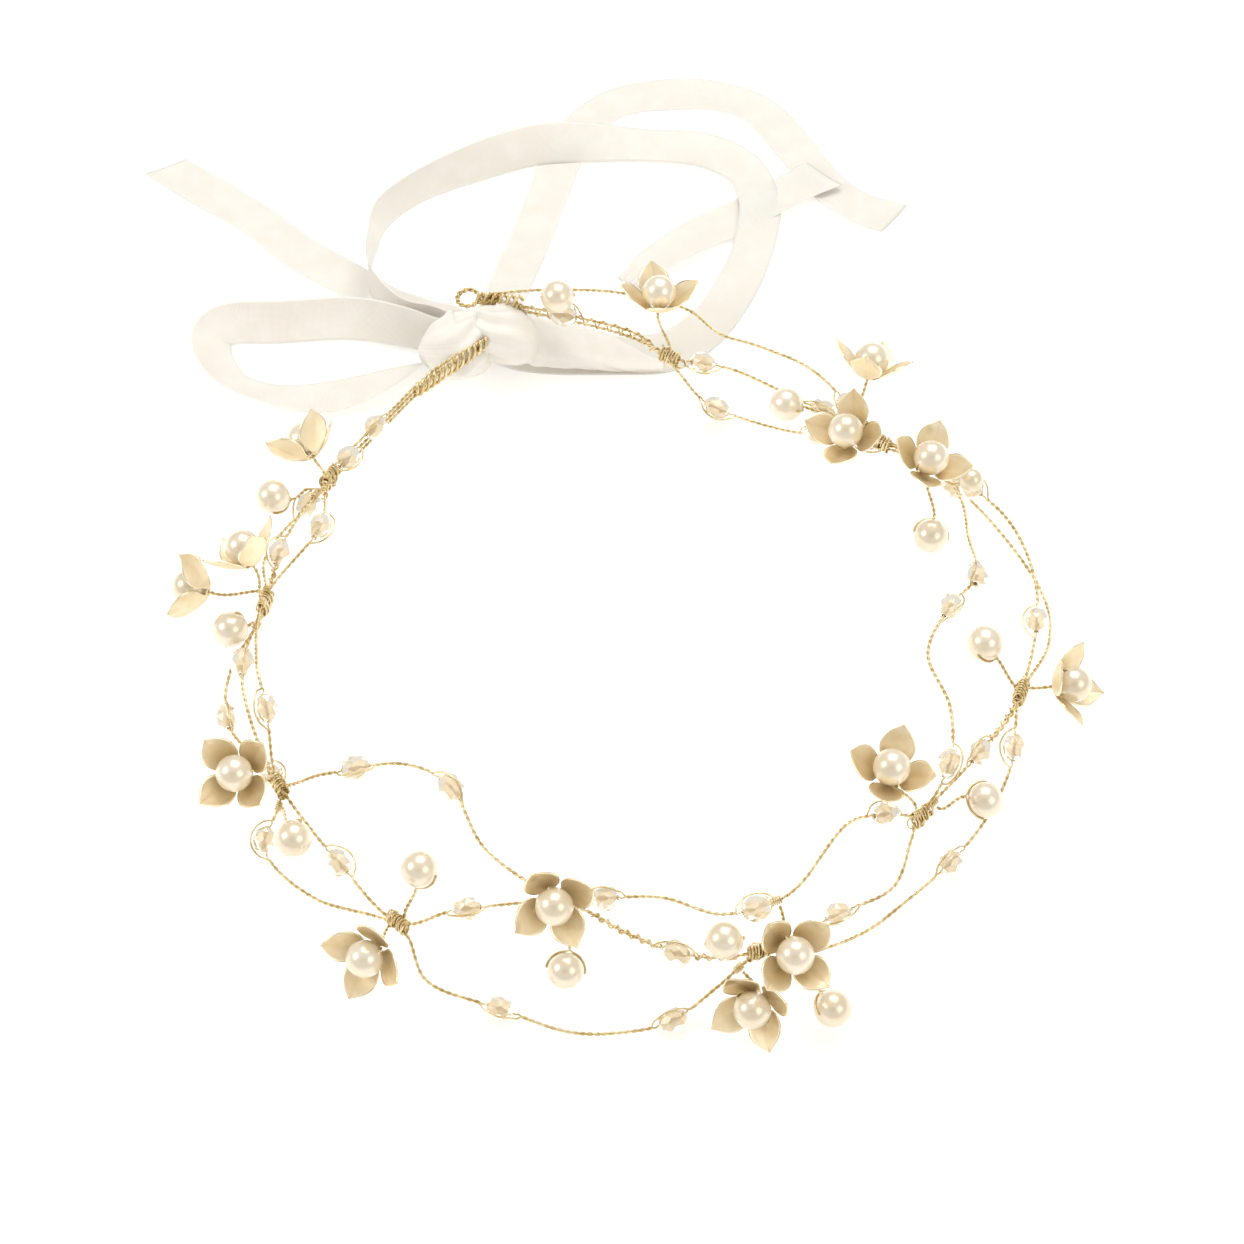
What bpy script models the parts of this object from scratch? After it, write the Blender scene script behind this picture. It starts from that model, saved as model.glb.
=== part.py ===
"""A bridal flower crown: three twisted-wire strands bound into a ring, with four-petal metal flowers,
pearls on short stems, faceted beads and a sheer ribbon tied in a bow at the back.

Frame: metres, +Z up, origin at the middle of the ring on the table that it lies on, +Y towards the bow.
Places on the ring are (bearing, share, height): degrees anticlockwise from +X seen from above,
share of the ring's radius, and millimetres above the table.
"""

import math

import bmesh
import bpy
from mathutils import Matrix, Vector

MM = 0.001

# Overall sizes of the ring, measured to the middle of its wires.
RING_WIDTH = 0.183
RING_DEPTH = 0.180

# Wires.
STRAND_DIAMETER = 0.0009
STEM_DIAMETER = 0.0010
STEM_STRAIGHT = 0.0020
STRAND_PITCH = 1.7  # mm between the strands where a stem binds them
STRAND_STEP = 0.0052
CLEARANCE = 0.00035

# Pearls and beads.
PEARL_DIAMETER = 0.0079
PLACED_PEARL = 0.0079  # the pearl that the places below are set out for
BEAD_DIAMETER = 0.0056
BEAD_LENGTH = 0.0062
BEAD_BORE = 0.0021

# Stamped flowers.
PETAL_COUNT = 4
PETAL_LENGTH = 0.0106
PETAL_WIDTH = 0.0076
PETAL_RISE = math.radians(33)
PETAL_CUP = 0.0009
PETAL_THICKNESS = 0.00035
DISC_DIAMETER = 0.0034
PETAL_ROWS = 5
PETAL_BASE = math.radians(30)  # half the angle of the disc that each petal grows from
TIP_WIDTH = 0.0005

# How round the faceted shapes of this model are.
STEM_ROWS = 4
BALL_ROWS = 6
BEAD_SIDES = 8
EYE_ROWS = 12

# Ribbon.
RIBBON_WIDTH = 0.0105
RIBBON_THICKNESS = 0.0004
RIBBON_STEP = 0.006
KNOT_LENGTH = 0.0105
KNOT_WIDTH = 0.0075
KNOT_HEIGHT = 0.0095

# Eyes at the two ends of the wires.
EYE_DIAMETER = 0.0052
EYE_WIRE = 0.0010

# Where stems bind the strands together.
CLUSTERS = {
    "A": (148, 0.92, 15),
    "B": (174, 0.92, 16),
    "C": (207, 0.95, 16),
    "D": (234, 0.95, 11),
    "E": (257, 0.80, 21),
    "F": (287, 0.90, 14),
    "G": (320, 0.84, 20),
    "H": (349, 0.92, 17),
    "J": (396, 0.89, 17.5),
    "M": (404, 0.84, 17.5),
    "K": (445, 0.87, 17),
}

# Each strand's way round the ring, from the left wire end to the right one.
ROUTES = {
    "upper": [
        (113, 1.03, 14.5), (122, 1.00, 14.3), (135, 0.94, 15), "A", (161, 0.83, 23), "B", (189, 0.92, 26),
        (198, 0.92, 26), "C", (213, 0.87, 27), (221, 0.73, 32), (231, 0.69, 31), (243, 0.77, 28), "E",
        (264, 0.80, 26), (273, 0.82, 30), (281, 0.87, 29), (288, 0.87, 28), (294, 0.86, 30),
        (306, 0.78, 30), (314, 0.80, 26), "G", (327, 0.84, 29), (336, 0.78, 31), (346, 0.69, 31),
        (358, 0.73, 30), (366, 0.81, 28), (376, 0.83, 24), (386, 0.88, 20), "J", "M", (418, 0.84, 28),
        (428, 0.83, 31), (436, 0.84, 31), (442, 0.92, 29), (448, 0.97, 27), (455, 1.03, 24),
        (464, 1.10, 20), (471, 1.15, 17.5),
    ],
    "middle": [
        (113, 1.03, 13), (122, 1.00, 12.8), (135, 0.94, 13.4), "A", (162, 0.92, 17), "B", (185, 0.96, 16),
        (195, 0.96, 17), "C", (222, 0.94, 14), "D", (242, 0.88, 18), "E", (268, 0.83, 16),
        (277, 0.88, 14), "F", (300, 0.89, 15), (309, 0.91, 16), (316, 0.86, 19), "G", (335, 0.87, 20),
        "H", (366, 0.97, 17), (381, 0.97, 17), "J", "M", (411, 0.83, 18), (421, 0.83, 17), (434, 0.85, 18), "K",
        (451, 0.94, 18), (461, 1.03, 17), (471, 1.15, 16),
    ],
    "lower": [
        (113, 1.03, 11.5), (122, 1.00, 11.3), (135, 0.94, 11.8), "A", (163, 0.97, 11), "B", (183, 1.00, 8),
        (192, 1.01, 7), "C", (212, 1.04, 7), (221, 1.01, 4), "D", (241, 1.01, 4), (251, 1.00, 2.9),
        (260, 1.01, 1.2), (267, 1.00, 1.2), (274, 0.98, 2.9), (281, 0.93, 8), "F", (296, 0.91, 7),
        (305, 0.90, 1.2), (313, 0.90, 1.2), (322, 0.92, 4), (330, 0.94, 9), (339, 0.94, 12), "H",
        (360, 0.99, 12), (371, 1.01, 8), (385, 0.96, 10), "J", "M", (409, 0.83, 14), (415, 0.83, 9), (422, 0.83, 4),
        (432, 0.83, 3), (439, 0.84, 6), "K", (451, 0.94, 16), (461, 1.03, 15.2), (471, 1.15, 14.5),
    ],
}
STACK = {"upper": 1, "middle": 0, "lower": -1}

# Each flower: the strand and bearing where its stem leaves, its pearl's place, the way it faces
# (bearing and elevation) and the turn of its petals about that way.
FLOWERS = {
    "flower_back_left": ("upper", 149, (148, 0.99, 25), (122, 15), 20),
    "flower_far_left": ("lower", 171, (173, 1.11, 17), (165, 5), 10),
    "flower_upper_left": ("upper", 175, (171, 0.97, 30), (130, 42), 0),
    "flower_left": ("middle", 206, (206, 1.045, 25), (255, 58), 55),
    "flower_front_left": ("lower", 233, (235, 1.09, 16), (241, 33), 0),
    "flower_front": ("upper", 257, (257, 0.87, 31), (270, 38), 30),
    "flower_front_right": ("upper", 290, (290, 0.99, 24), (290, 54), 30),
    "flower_front_low": ("lower", 284, (284, 1.02, 10), (250, 28), 40),
    "flower_inner_right": ("upper", 319, (318, 0.76, 35), (300, 82), 45),
    "flower_far_right": ("middle", 350, (350, 1.04, 21), (345, 32), 20),
    "flower_upper_right": ("upper", 397, (390, 0.82, 32), (338, 74), 10),
    "flower_back": ("middle", 445, (447, 0.92, 35), (79, 75), 20),
    "flower_back_right": ("middle", 410, (411, 0.92, 33), (70, 54), 0),
    "flower_inner_back": ("upper", 407, (404, 0.70, 33), (220, 67), 30),
}

# Each pearl on its own stem: the strand and bearing where the stem leaves, and the pearl's place.
SPRIGS = {
    "pearl_back_left": ("middle", 152, (157, 0.99, 20)),
    "pearl_left": ("lower", 177, (180, 0.99, 18)),
    "pearl_left_low": ("lower", 209, (217, 1.00, 20)),
    "pearl_front_left": ("middle", 235, (234, 0.86, 22)),
    "pearl_front": ("middle", 259, (259, 0.91, 11)),
    "pearl_front_right": ("middle", 283, (281.5, 0.91, 24)),
    "pearl_right_low": ("lower", 291, (294, 1.06, 7)),
    "pearl_inner_right": ("middle", 323, (329, 0.93, 17)),
    "pearl_right": ("middle", 349, (353, 0.82, 26)),
    "pearl_upper_right": ("lower", 395, (385, 0.80, 11)),
    "pearl_back_right": ("middle", 415, (421, 0.76, 22)),
    "pearl_back": ("upper", 461, (462, 1.02, 25)),
}

# Faceted beads threaded on a strand, by bearing.
BEADS = {
    "bead_inner_left": ("upper", 216),
    "bead_inner_front": ("upper", 231),
    "bead_inner_front_right": ("upper", 287),
    "bead_inner_right": ("upper", 358),
    "bead_front_left": ("middle", 243),
    "bead_front_right": ("middle", 275),
    "bead_low_left": ("lower", 251),
    "bead_low_right": ("lower", 274),
    "bead_low_back": ("lower", 436),
}

# The middle of the bow's knot on the ring, and the height of its underside.
KNOT_SPOT = (113.5, 1.115)
KNOT_TURN = math.radians(35)

# Ribbon runs: plan points in millimetres from the knot, the ribbon's tilt there (0 flat, 90 on edge,
# 180 flat the other way up) and how far its lower edge is off the table.
RIBBONS = {
    "ribbon_tail_left": [
        (-14, 13, 0, 0), (-22, 17, 0, 0), (-31, 24, 0, 0), (-44, 33, 0, 0), (-56, 44, 0, 0),
        (-68, 53, 0, 0), (-80, 62, 0, 0),
    ],
    "ribbon_loop_left": [
        (-8, 2, 70, 1), (-17, 5, 60, 1), (-30, 8, 45, 1), (-47, 8, 36, 0.2), (-58, 8, 33, 0),
        (-63, 5, 30, 0), (-63, -1, 30, 0), (-59, -8, 30, 0), (-53, -12, 28, 0), (-44, -14, 20, 0),
        (-36, -14, 12, 0), (-27, -12, 15, 0), (-17, -8, 30, 0), (-8, -4, 60, 0),
    ],
    "ribbon_tail_right": [
        (6, 13, 0, 0), (9, 23, 0, 0), (14, 39, 0, 0), (18, 53, 0, 0), (22, 67, 0, 0), (28, 78, 0, 0),
        (37, 85, 0, 0), (50, 87, 0, 0), (63, 86, 0, 0), (73, 80, 0, 0), (81, 68, 0, 0), (88, 56, 0, 0),
        (96, 48, 0, 0), (105, 44, 0, 0),
    ],
    "ribbon_loop_right": [
        (-8, 7, 90, 1), (-16, 9, 90, 1), (-22, 14, 90, 1), (-26, 22, 92, 1), (-25, 32, 100, 1),
        (-23, 40, 115, 1), (-17, 47, 135, 1), (-9, 53, 150, 1), (3, 60, 160, 1), (16, 66, 165, 1),
        (29, 68, 170, 1), (43, 67, 172, 1.2), (54, 63, 175, 1.8), (63, 58, 178, 1.8), (68, 50, 180, 1.8),
        (69, 40, 180, 1.8), (67, 28, 180, 1.8), (63, 17, 200, 1), (57, 7, 225, 0.5), (47, 0, 235, 0),
        (35, -1, 230, 0), (22, -1, 230, 0), (12, 0, 240, 0), (6, 0, 250, 0),
    ],
    "ribbon_end_right": [
        (38, 21, 15, 0.8), (44, 28, 10, 0.8), (53, 36, 5, 0.8), (62, 42, 0, 0.8), (70, 47, 0, 0.8),
        (79, 52, 0, 0.8),
    ],
}

COLOURS = {
    "gold": ((0.60, 0.45, 0.23), 0.36, 1.0),
    "petal": ((0.62, 0.48, 0.27), 0.42, 1.0),
    "pearl": ((0.88, 0.80, 0.68), 0.22, 0.0),
    "crystal": ((0.90, 0.84, 0.74), 0.08, 0.0),
    "ribbon": ((0.93, 0.90, 0.84), 0.75, 0.0),
}


def clear_scene():
    for item in list(bpy.data.objects):
        bpy.data.objects.remove(item, do_unlink=True)


def material(name):
    colour, roughness, metallic = COLOURS[name]
    made = bpy.data.materials.get(name) or bpy.data.materials.new(name)
    made.use_nodes = True
    shader = made.node_tree.nodes["Principled BSDF"]
    shader.inputs["Base Color"].default_value = (*colour, 1)
    shader.inputs["Roughness"].default_value = roughness
    shader.inputs["Metallic"].default_value = metallic
    return made


def add(name, data, collection, finish):
    item = bpy.data.objects.new(name, data)
    item.data.materials.append(material(finish))
    collection.objects.link(item)
    return item


def ring_point(bearing, share, height):
    angle = math.radians(bearing)
    return Vector(
        (
            share * RING_WIDTH / 2 * math.cos(angle),
            share * RING_DEPTH / 2 * math.sin(angle),
            height * MM,
        )
    )


def facing(bearing, elevation):
    around, up = math.radians(bearing), math.radians(elevation)
    return Vector((math.cos(around) * math.cos(up), math.sin(around) * math.cos(up), math.sin(up)))


def smooth(points, step):
    """Points about one step apart in plan on a smooth curve through the given ones (Catmull-Rom)."""
    ends = [2 * points[0] - points[1], *points, 2 * points[-1] - points[-2]]
    out = [points[0].copy()]
    for i in range(1, len(ends) - 2):
        a, b, c, d = ends[i - 1 : i + 3]
        count = max(1, round((c.xy - b.xy).length / step))
        for k in range(1, count + 1):
            t = k / count
            out.append(
                0.5
                * (
                    2 * b
                    + (c - a) * t
                    + (2 * a - 5 * b + 4 * c - d) * t**2
                    + (3 * b - a - 3 * c + d) * t**3
                )
            )
    return out


def strand_points(name):
    places = []
    for stop in ROUTES[name]:
        if isinstance(stop, str):
            bearing, share, height = CLUSTERS[stop]
            places.append(ring_point(bearing, share, height + STACK[name] * STRAND_PITCH))
        else:
            places.append(ring_point(*stop))
    return smooth(places, STRAND_STEP)


def unwrapped_bearings(points):
    """The bearing of each point, growing along the strand past 360 degrees."""
    out = []
    for point in points:
        bearing = math.degrees(math.atan2(point.y / RING_DEPTH, point.x / RING_WIDTH)) % 360
        while out and bearing < out[-1] - 90:
            bearing += 360
        out.append(bearing)
    return out


def on_strand(points, bearing):
    """The strand's point and direction at a bearing."""
    bearings = unwrapped_bearings(points)
    for i in range(len(points) - 1):
        if bearings[i] <= bearing <= bearings[i + 1]:
            share = (bearing - bearings[i]) / (bearings[i + 1] - bearings[i])
            here = points[i].lerp(points[i + 1], share)
            return here, (points[i + 1] - points[i]).normalized()
    return points[-1].copy(), (points[-1] - points[-2]).normalized()


def tube(name, points, diameter, collection, finish, origin=None, radii=None, rings=1):
    """A wire along the points; radii swell it, and its origin may lie on a joint."""
    origin = origin or Vector()
    curve = bpy.data.curves.new(name, "CURVE")
    curve.dimensions = "3D"
    curve.bevel_depth = diameter / 2
    curve.bevel_resolution = rings
    curve.use_fill_caps = True
    spline = curve.splines.new("POLY")
    spline.points.add(len(points) - 1)
    for i, point in enumerate(points):
        spline.points[i].co = (*(point - origin), 1)
        spline.points[i].radius = radii[i] if radii else 1
    item = add(name, curve, collection, finish)
    item.location = origin
    return item


def joint_empty(name, place, collection):
    empty = bpy.data.objects.new(name, None)
    empty.location = place
    collection.objects.link(empty)
    return empty


def hang_on(item, empty):
    """Makes the item a child of the empty and leaves it where it is."""
    item.location = item.location - empty.location
    item.parent = empty


def bezier(start, lean_start, lean_end, end, count):
    out = []
    for k in range(count + 1):
        t = k / count
        out.append(
            start * (1 - t) ** 3
            + lean_start * 3 * t * (1 - t) ** 2
            + lean_end * 3 * t**2 * (1 - t)
            + end * t**3
        )
    return out


def stem_root(points, bearing, target):
    """Where a stem starts: beside the strand, a clearance off it, towards the target."""
    here, along = on_strand(points, bearing)
    towards = target - here
    towards = (towards - towards.dot(along) * along).normalized()
    return here + towards * (STRAND_DIAMETER / 2 + STEM_DIAMETER / 2 + CLEARANCE), towards


def pearl_on_stem(name, root, towards, centre, way, straight, collection, empty):
    """A stem that ends in a pearl: one tube whose radius swells into the ball.

    Its last stretch, as long as straight, lies on the pearl's own axis.
    """
    ball = PEARL_DIAMETER / 2
    bend_end = centre - way * (ball + straight)
    reach = (bend_end - root).length
    path = bezier(root, root + towards * reach * 0.35, bend_end - way * reach * 0.35, bend_end, STEM_ROWS)
    radii = [1.0] * len(path)
    neck = math.asin(min(0.9, STEM_DIAMETER / PEARL_DIAMETER))
    for k in range(BALL_ROWS + 1):
        angle = neck + (math.pi - neck) * k / BALL_ROWS
        path.append(centre - way * ball * math.cos(angle))
        radii.append(max(ball * math.sin(angle), 0.0002) / (STEM_DIAMETER / 2))
    item = tube(name, path, STEM_DIAMETER, collection, "pearl", root, radii, rings=2)
    hang_on(item, empty)
    return item


def petal_grid(turn):
    """Rows of three points along one petal, from the disc to its tip, in the flower's own frame."""
    disc = DISC_DIAMETER / 2
    rows = []
    for k in range(PETAL_ROWS):
        s = k / (PETAL_ROWS - 1)
        swell = PETAL_WIDTH / 2 * abs(math.sin(math.pi * (0.12 + 0.88 * s))) ** 0.75
        half = max(swell, TIP_WIDTH / 2) if k else disc * math.sin(PETAL_BASE)
        rise = PETAL_RISE * (0.8 + 0.5 * s)
        radial = disc * math.cos(PETAL_BASE) + PETAL_LENGTH * s * math.cos(rise)
        height = PETAL_LENGTH * s * math.sin(rise)
        lift = PETAL_CUP * (half / (PETAL_WIDTH / 2)) ** 2 if k else 0
        row = []
        for side in (-1, 0, 1):
            x, y = radial, side * half
            z = height + (lift if side else 0)
            row.append(
                Vector((x * math.cos(turn) - y * math.sin(turn), x * math.sin(turn) + y * math.cos(turn), z))
            )
        rows.append(row)
    return rows


def petals_mesh():
    """One stamping: a small holed disc with its petals as one open sheet."""
    mesh = bpy.data.meshes.new("petals")
    bm = bmesh.new()
    hole = STEM_DIAMETER / 2 + CLEARANCE
    inner, outer = [], []
    for k in range(PETAL_COUNT):
        turn = 2 * math.pi * k / PETAL_COUNT
        rows = [[bm.verts.new(p) for p in row] for row in petal_grid(turn)]
        for low, high in zip(rows, rows[1:]):
            for i in range(2):
                bm.faces.new((low[i], high[i], high[i + 1], low[i + 1]))
        for vert in rows[0]:
            angle = math.atan2(vert.co.y, vert.co.x)
            outer.append(vert)
            inner.append(bm.verts.new((hole * math.cos(angle), hole * math.sin(angle), 0)))
    count = len(outer)
    for i in range(count):
        j = (i + 1) % count
        bm.faces.new((inner[i], outer[i], outer[j], inner[j]))
    bmesh.ops.recalc_face_normals(bm, faces=bm.faces)
    bm.to_mesh(mesh)
    bm.free()
    return mesh


def aim(way, roll):
    """A turn that carries +Z to the way a flower faces, with its petals rolled about it."""
    return way.to_track_quat("Z", "Y").to_matrix().to_4x4() @ Matrix.Rotation(math.radians(roll), 4, "Z")


def pearl_place(points, bearing, place):
    """A pearl's middle: its set place, moved away from its strand by what a bigger pearl needs."""
    here, _ = on_strand(points, bearing)
    centre = ring_point(*place)
    return centre + (centre - here).normalized() * (PEARL_DIAMETER - PLACED_PEARL)


def add_flower(name, strands, spec, shared, collection):
    strand, bearing, place, look, roll = spec
    centre = pearl_place(strands[strand], bearing, place)
    way = facing(*look)
    seat = centre - way * (PEARL_DIAMETER / 2 + PETAL_THICKNESS / 2 + CLEARANCE)
    root, towards = stem_root(strands[strand], bearing, seat)
    empty = joint_empty(f"bend_{name}", root, collection)
    pearl_on_stem(f"{name}_pearl", root, towards, centre, way, STEM_STRAIGHT, collection, empty)
    petals = add(f"{name}_petals", shared.copy(), collection, "petal")
    petals.matrix_world = Matrix.Translation(seat) @ aim(way, roll)
    sheet = petals.modifiers.new("Sheet", "SOLIDIFY")
    sheet.thickness = PETAL_THICKNESS
    sheet.offset = 0
    hang_on(petals, empty)


def add_sprig(name, strands, spec, collection):
    strand, bearing, place = spec
    centre = pearl_place(strands[strand], bearing, place)
    root, towards = stem_root(strands[strand], bearing, centre)
    empty = joint_empty(f"bend_{name}", root, collection)
    way = ((centre - root).normalized() * 2 + towards).normalized()
    pearl_on_stem(name, root, towards, centre, way, CLEARANCE, collection, empty)


def bead_profile():
    """The bead's outline from its top down the outside and back up the bore."""
    half, wide, bore = BEAD_LENGTH / 2, BEAD_DIAMETER / 2, BEAD_BORE / 2
    return [
        (bore, half), (bore + 0.0006, half), (wide, 0.22 * half), (wide, -0.22 * half),
        (bore + 0.0006, -half), (bore, -half),
    ]


def bead_seat(points, bearing):
    """The middle and the direction of the stretch of strand that a bead covers."""
    here, _ = on_strand(points, bearing)
    turn = math.degrees(BEAD_LENGTH / 2 / Vector(here.xy).length)
    before, _ = on_strand(points, bearing - turn)
    after, _ = on_strand(points, bearing + turn)
    return (before + after + 2 * here) / 4, (after - before).normalized()


def add_bead(name, strands, spec, collection):
    strand, bearing = spec
    here, along = bead_seat(strands[strand], bearing)
    mesh = bpy.data.meshes.new(name)
    points = [(x, 0, z) for x, z in bead_profile()]
    count = len(points)
    mesh.from_pydata(points, [(i, (i + 1) % count) for i in range(count)], [])
    item = add(name, mesh, collection, "crystal")
    item.matrix_world = Matrix.Translation(here) @ along.to_track_quat("Z", "Y").to_matrix().to_4x4()
    turn = item.modifiers.new("Turn", "SCREW")
    turn.angle = 2 * math.pi
    turn.steps = BEAD_SIDES
    turn.render_steps = BEAD_SIDES
    turn.use_merge_vertices = True
    turn.merge_threshold = 0.00005
    turn.use_smooth_shade = False


def add_eye(name, strands, at_end, collection):
    """The wire ends turned into an eye for the ribbon, just past the last of the three strands."""
    ends = [points[-1 if at_end else 0] for points in strands.values()]
    before = [points[-2 if at_end else 1] for points in strands.values()]
    centre = sum(ends, Vector()) / len(ends)
    along = (centre - sum(before, Vector()) / len(before)).normalized()
    side = along.cross(Vector((0, 0, 1))).normalized()
    start = centre + along * (STRAND_DIAMETER / 2 + EYE_WIRE / 2 + CLEARANCE)
    middle = start + along * EYE_DIAMETER * 0.5
    path = []
    for k in range(EYE_ROWS + 1):
        angle = math.radians(24 + 312 * k / EYE_ROWS)
        path.append(
            middle + (side * math.sin(angle) - along * math.cos(angle)) * EYE_DIAMETER / 2
        )
    tube(name, path, EYE_WIRE, collection, "gold")


def ribbon_rows(run):
    """Each row along a run: its plan point, tilt and lift, smooth through the run's own stops."""
    knot = ring_point(*KNOT_SPOT, 0)
    stops = [Vector((x * MM, y * MM, math.radians(tilt), lift * MM)) for x, y, tilt, lift in run]
    stops = [stop + Vector((knot.x, knot.y, 0, 0)) for stop in stops]
    return smooth(stops, RIBBON_STEP)


def ribbon_strip(name, run, collection):
    """A thin strip along the run: its width leans by the tilt and its lower edge keeps its lift."""
    rows = ribbon_rows(run)
    bm = bmesh.new()
    pairs = []
    for i, (x, y, tilt, lift) in enumerate(rows):
        low, high = rows[max(i - 1, 0)], rows[min(i + 1, len(rows) - 1)]
        along = Vector((high[0] - low[0], high[1] - low[1], 0)).normalized()
        across = along.cross(Vector((0, 0, 1)))
        half = (across * math.cos(tilt) + Vector((0, 0, math.sin(tilt)))) * RIBBON_WIDTH / 2
        centre = Vector((x, y, abs(half.z) + RIBBON_THICKNESS / 2 + max(lift, 0)))
        pairs.append([bm.verts.new(centre - half), bm.verts.new(centre + half)])
    for (a, b), (c, d) in zip(pairs, pairs[1:]):
        bm.faces.new((a, b, d, c))
    mesh = bpy.data.meshes.new(name)
    bm.to_mesh(mesh)
    bm.free()
    item = add(name, mesh, collection, "ribbon")
    sheet = item.modifiers.new("Sheet", "SOLIDIFY")
    sheet.thickness = RIBBON_THICKNESS
    sheet.offset = 0


def add_knot(collection):
    mesh = bpy.data.meshes.new("ribbon_knot")
    bm = bmesh.new()
    bmesh.ops.create_uvsphere(bm, u_segments=12, v_segments=8, radius=0.5)
    bmesh.ops.scale(bm, vec=(KNOT_LENGTH, KNOT_WIDTH, KNOT_HEIGHT), verts=bm.verts)
    bm.to_mesh(mesh)
    bm.free()
    mesh.shade_smooth()
    item = add("ribbon_knot", mesh, collection, "ribbon")
    item.location = ring_point(*KNOT_SPOT, 0) + Vector((0, 0, KNOT_HEIGHT / 2 + RIBBON_THICKNESS))
    item.rotation_euler = (0, 0, KNOT_TURN)


def main():
    clear_scene()
    collection = bpy.data.collections.new("flower_crown")
    bpy.context.scene.collection.children.link(collection)
    strands = {name: strand_points(name) for name in ROUTES}
    for name, points in strands.items():
        tube(f"strand_{name}", points, STRAND_DIAMETER, collection, "gold")
    add_eye("end_eye_left", strands, False, collection)
    add_eye("end_eye_right", strands, True, collection)
    shared = petals_mesh()
    for name, spec in FLOWERS.items():
        add_flower(name, strands, spec, shared, collection)
    for name, spec in SPRIGS.items():
        add_sprig(name, strands, spec, collection)
    for name, spec in BEADS.items():
        add_bead(name, strands, spec, collection)
    for name, run in RIBBONS.items():
        ribbon_strip(name, run, collection)
    add_knot(collection)


main()
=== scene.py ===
# %% [markdown]
# # A bridal flower crown
# Three strands of twisted gold wire are bound into a ring. Stems with pearls and stamped four-petal flowers
# are wound onto them, faceted glass beads are threaded on them, and a sheer ribbon closes the ring in a bow.
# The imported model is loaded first, as the frame. It is never changed: every piece made here rides on it.

# %% Load the frame
import math

import bpy
import numpy as np
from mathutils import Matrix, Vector


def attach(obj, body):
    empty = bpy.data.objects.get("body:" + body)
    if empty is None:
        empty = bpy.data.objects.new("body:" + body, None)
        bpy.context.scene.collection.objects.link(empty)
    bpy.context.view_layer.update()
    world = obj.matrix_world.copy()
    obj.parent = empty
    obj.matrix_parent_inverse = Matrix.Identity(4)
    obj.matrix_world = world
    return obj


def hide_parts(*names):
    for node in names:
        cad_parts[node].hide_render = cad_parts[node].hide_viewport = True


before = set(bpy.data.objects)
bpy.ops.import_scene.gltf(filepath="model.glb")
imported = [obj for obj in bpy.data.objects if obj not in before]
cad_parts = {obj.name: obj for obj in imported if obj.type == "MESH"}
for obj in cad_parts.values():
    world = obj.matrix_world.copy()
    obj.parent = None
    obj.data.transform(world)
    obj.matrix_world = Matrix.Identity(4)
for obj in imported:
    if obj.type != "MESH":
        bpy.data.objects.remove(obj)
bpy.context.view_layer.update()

RING_BODY = "ring"

# %% [markdown]
# ## Finishes as expressions
# A finish is a few patterns added, scaled and mixed. Blender keeps such sums as Math nodes. The small class
# below lets a socket be used like a number, so a finish reads as a formula, and one method adds any other
# node. The room's own light is made of nodes too, so both build on the same class.

# %% A socket that does arithmetic
class Value:
    """A node's output: a + b, 1 - a and 2 * a each add one Math node."""

    def __init__(self, finish, socket):
        self.finish = finish
        self.socket = socket

    def maths(self, operation, *values):
        return self.finish.node("ShaderNodeMath", {"operation": operation}, dict(enumerate(values)))

    def __add__(self, other):
        return self.maths("ADD", self, other)

    __radd__ = __add__

    def __sub__(self, other):
        return self.maths("SUBTRACT", self, other)

    def __rsub__(self, other):
        return self.maths("SUBTRACT", other, self)

    def __mul__(self, other):
        return self.maths("MULTIPLY", self, other)

    __rmul__ = __mul__

    def size(self):
        """The number without its sign."""
        return self.maths("ABSOLUTE", self)


# %% A node tree, for the room or for a finish
class Nodes:
    """The nodes that feed one shader."""

    def __init__(self, tree, shader):
        self.tree = tree
        self.shader = tree.nodes[shader]

    def plug(self, socket, value):
        if isinstance(value, Value):
            self.tree.links.new(value.socket, socket)
        else:
            socket.default_value = value

    def feed(self, socket, value):
        """Puts a number, a colour or another node's output into the shader."""
        self.plug(self.shader.inputs[socket], value)

    def node(self, kind, settings, sockets, output=0):
        """Adds a node: its settings first, then a value or a link for each named or numbered socket."""
        made = self.tree.nodes.new(kind)
        for name, value in settings.items():
            setattr(made, name, value)
        for name, value in sockets.items():
            self.plug(made.inputs[name], value)
        return Value(self, made.outputs[output])

    def between(self, value, low, high):
        """A value stretched so that low becomes 0 and high becomes 1, smoothly."""
        settings = {"interpolation_type": "SMOOTHSTEP"}
        return self.node("ShaderNodeMapRange", settings, {"Value": value, "From Min": low, "From Max": high})

    def mix(self, share, first, second):
        """The first colour where share is 0, the second where it is 1."""
        return self.node("ShaderNodeMix", {"data_type": "RGBA"}, {0: share, 6: first, 7: second}, 2)


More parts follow.
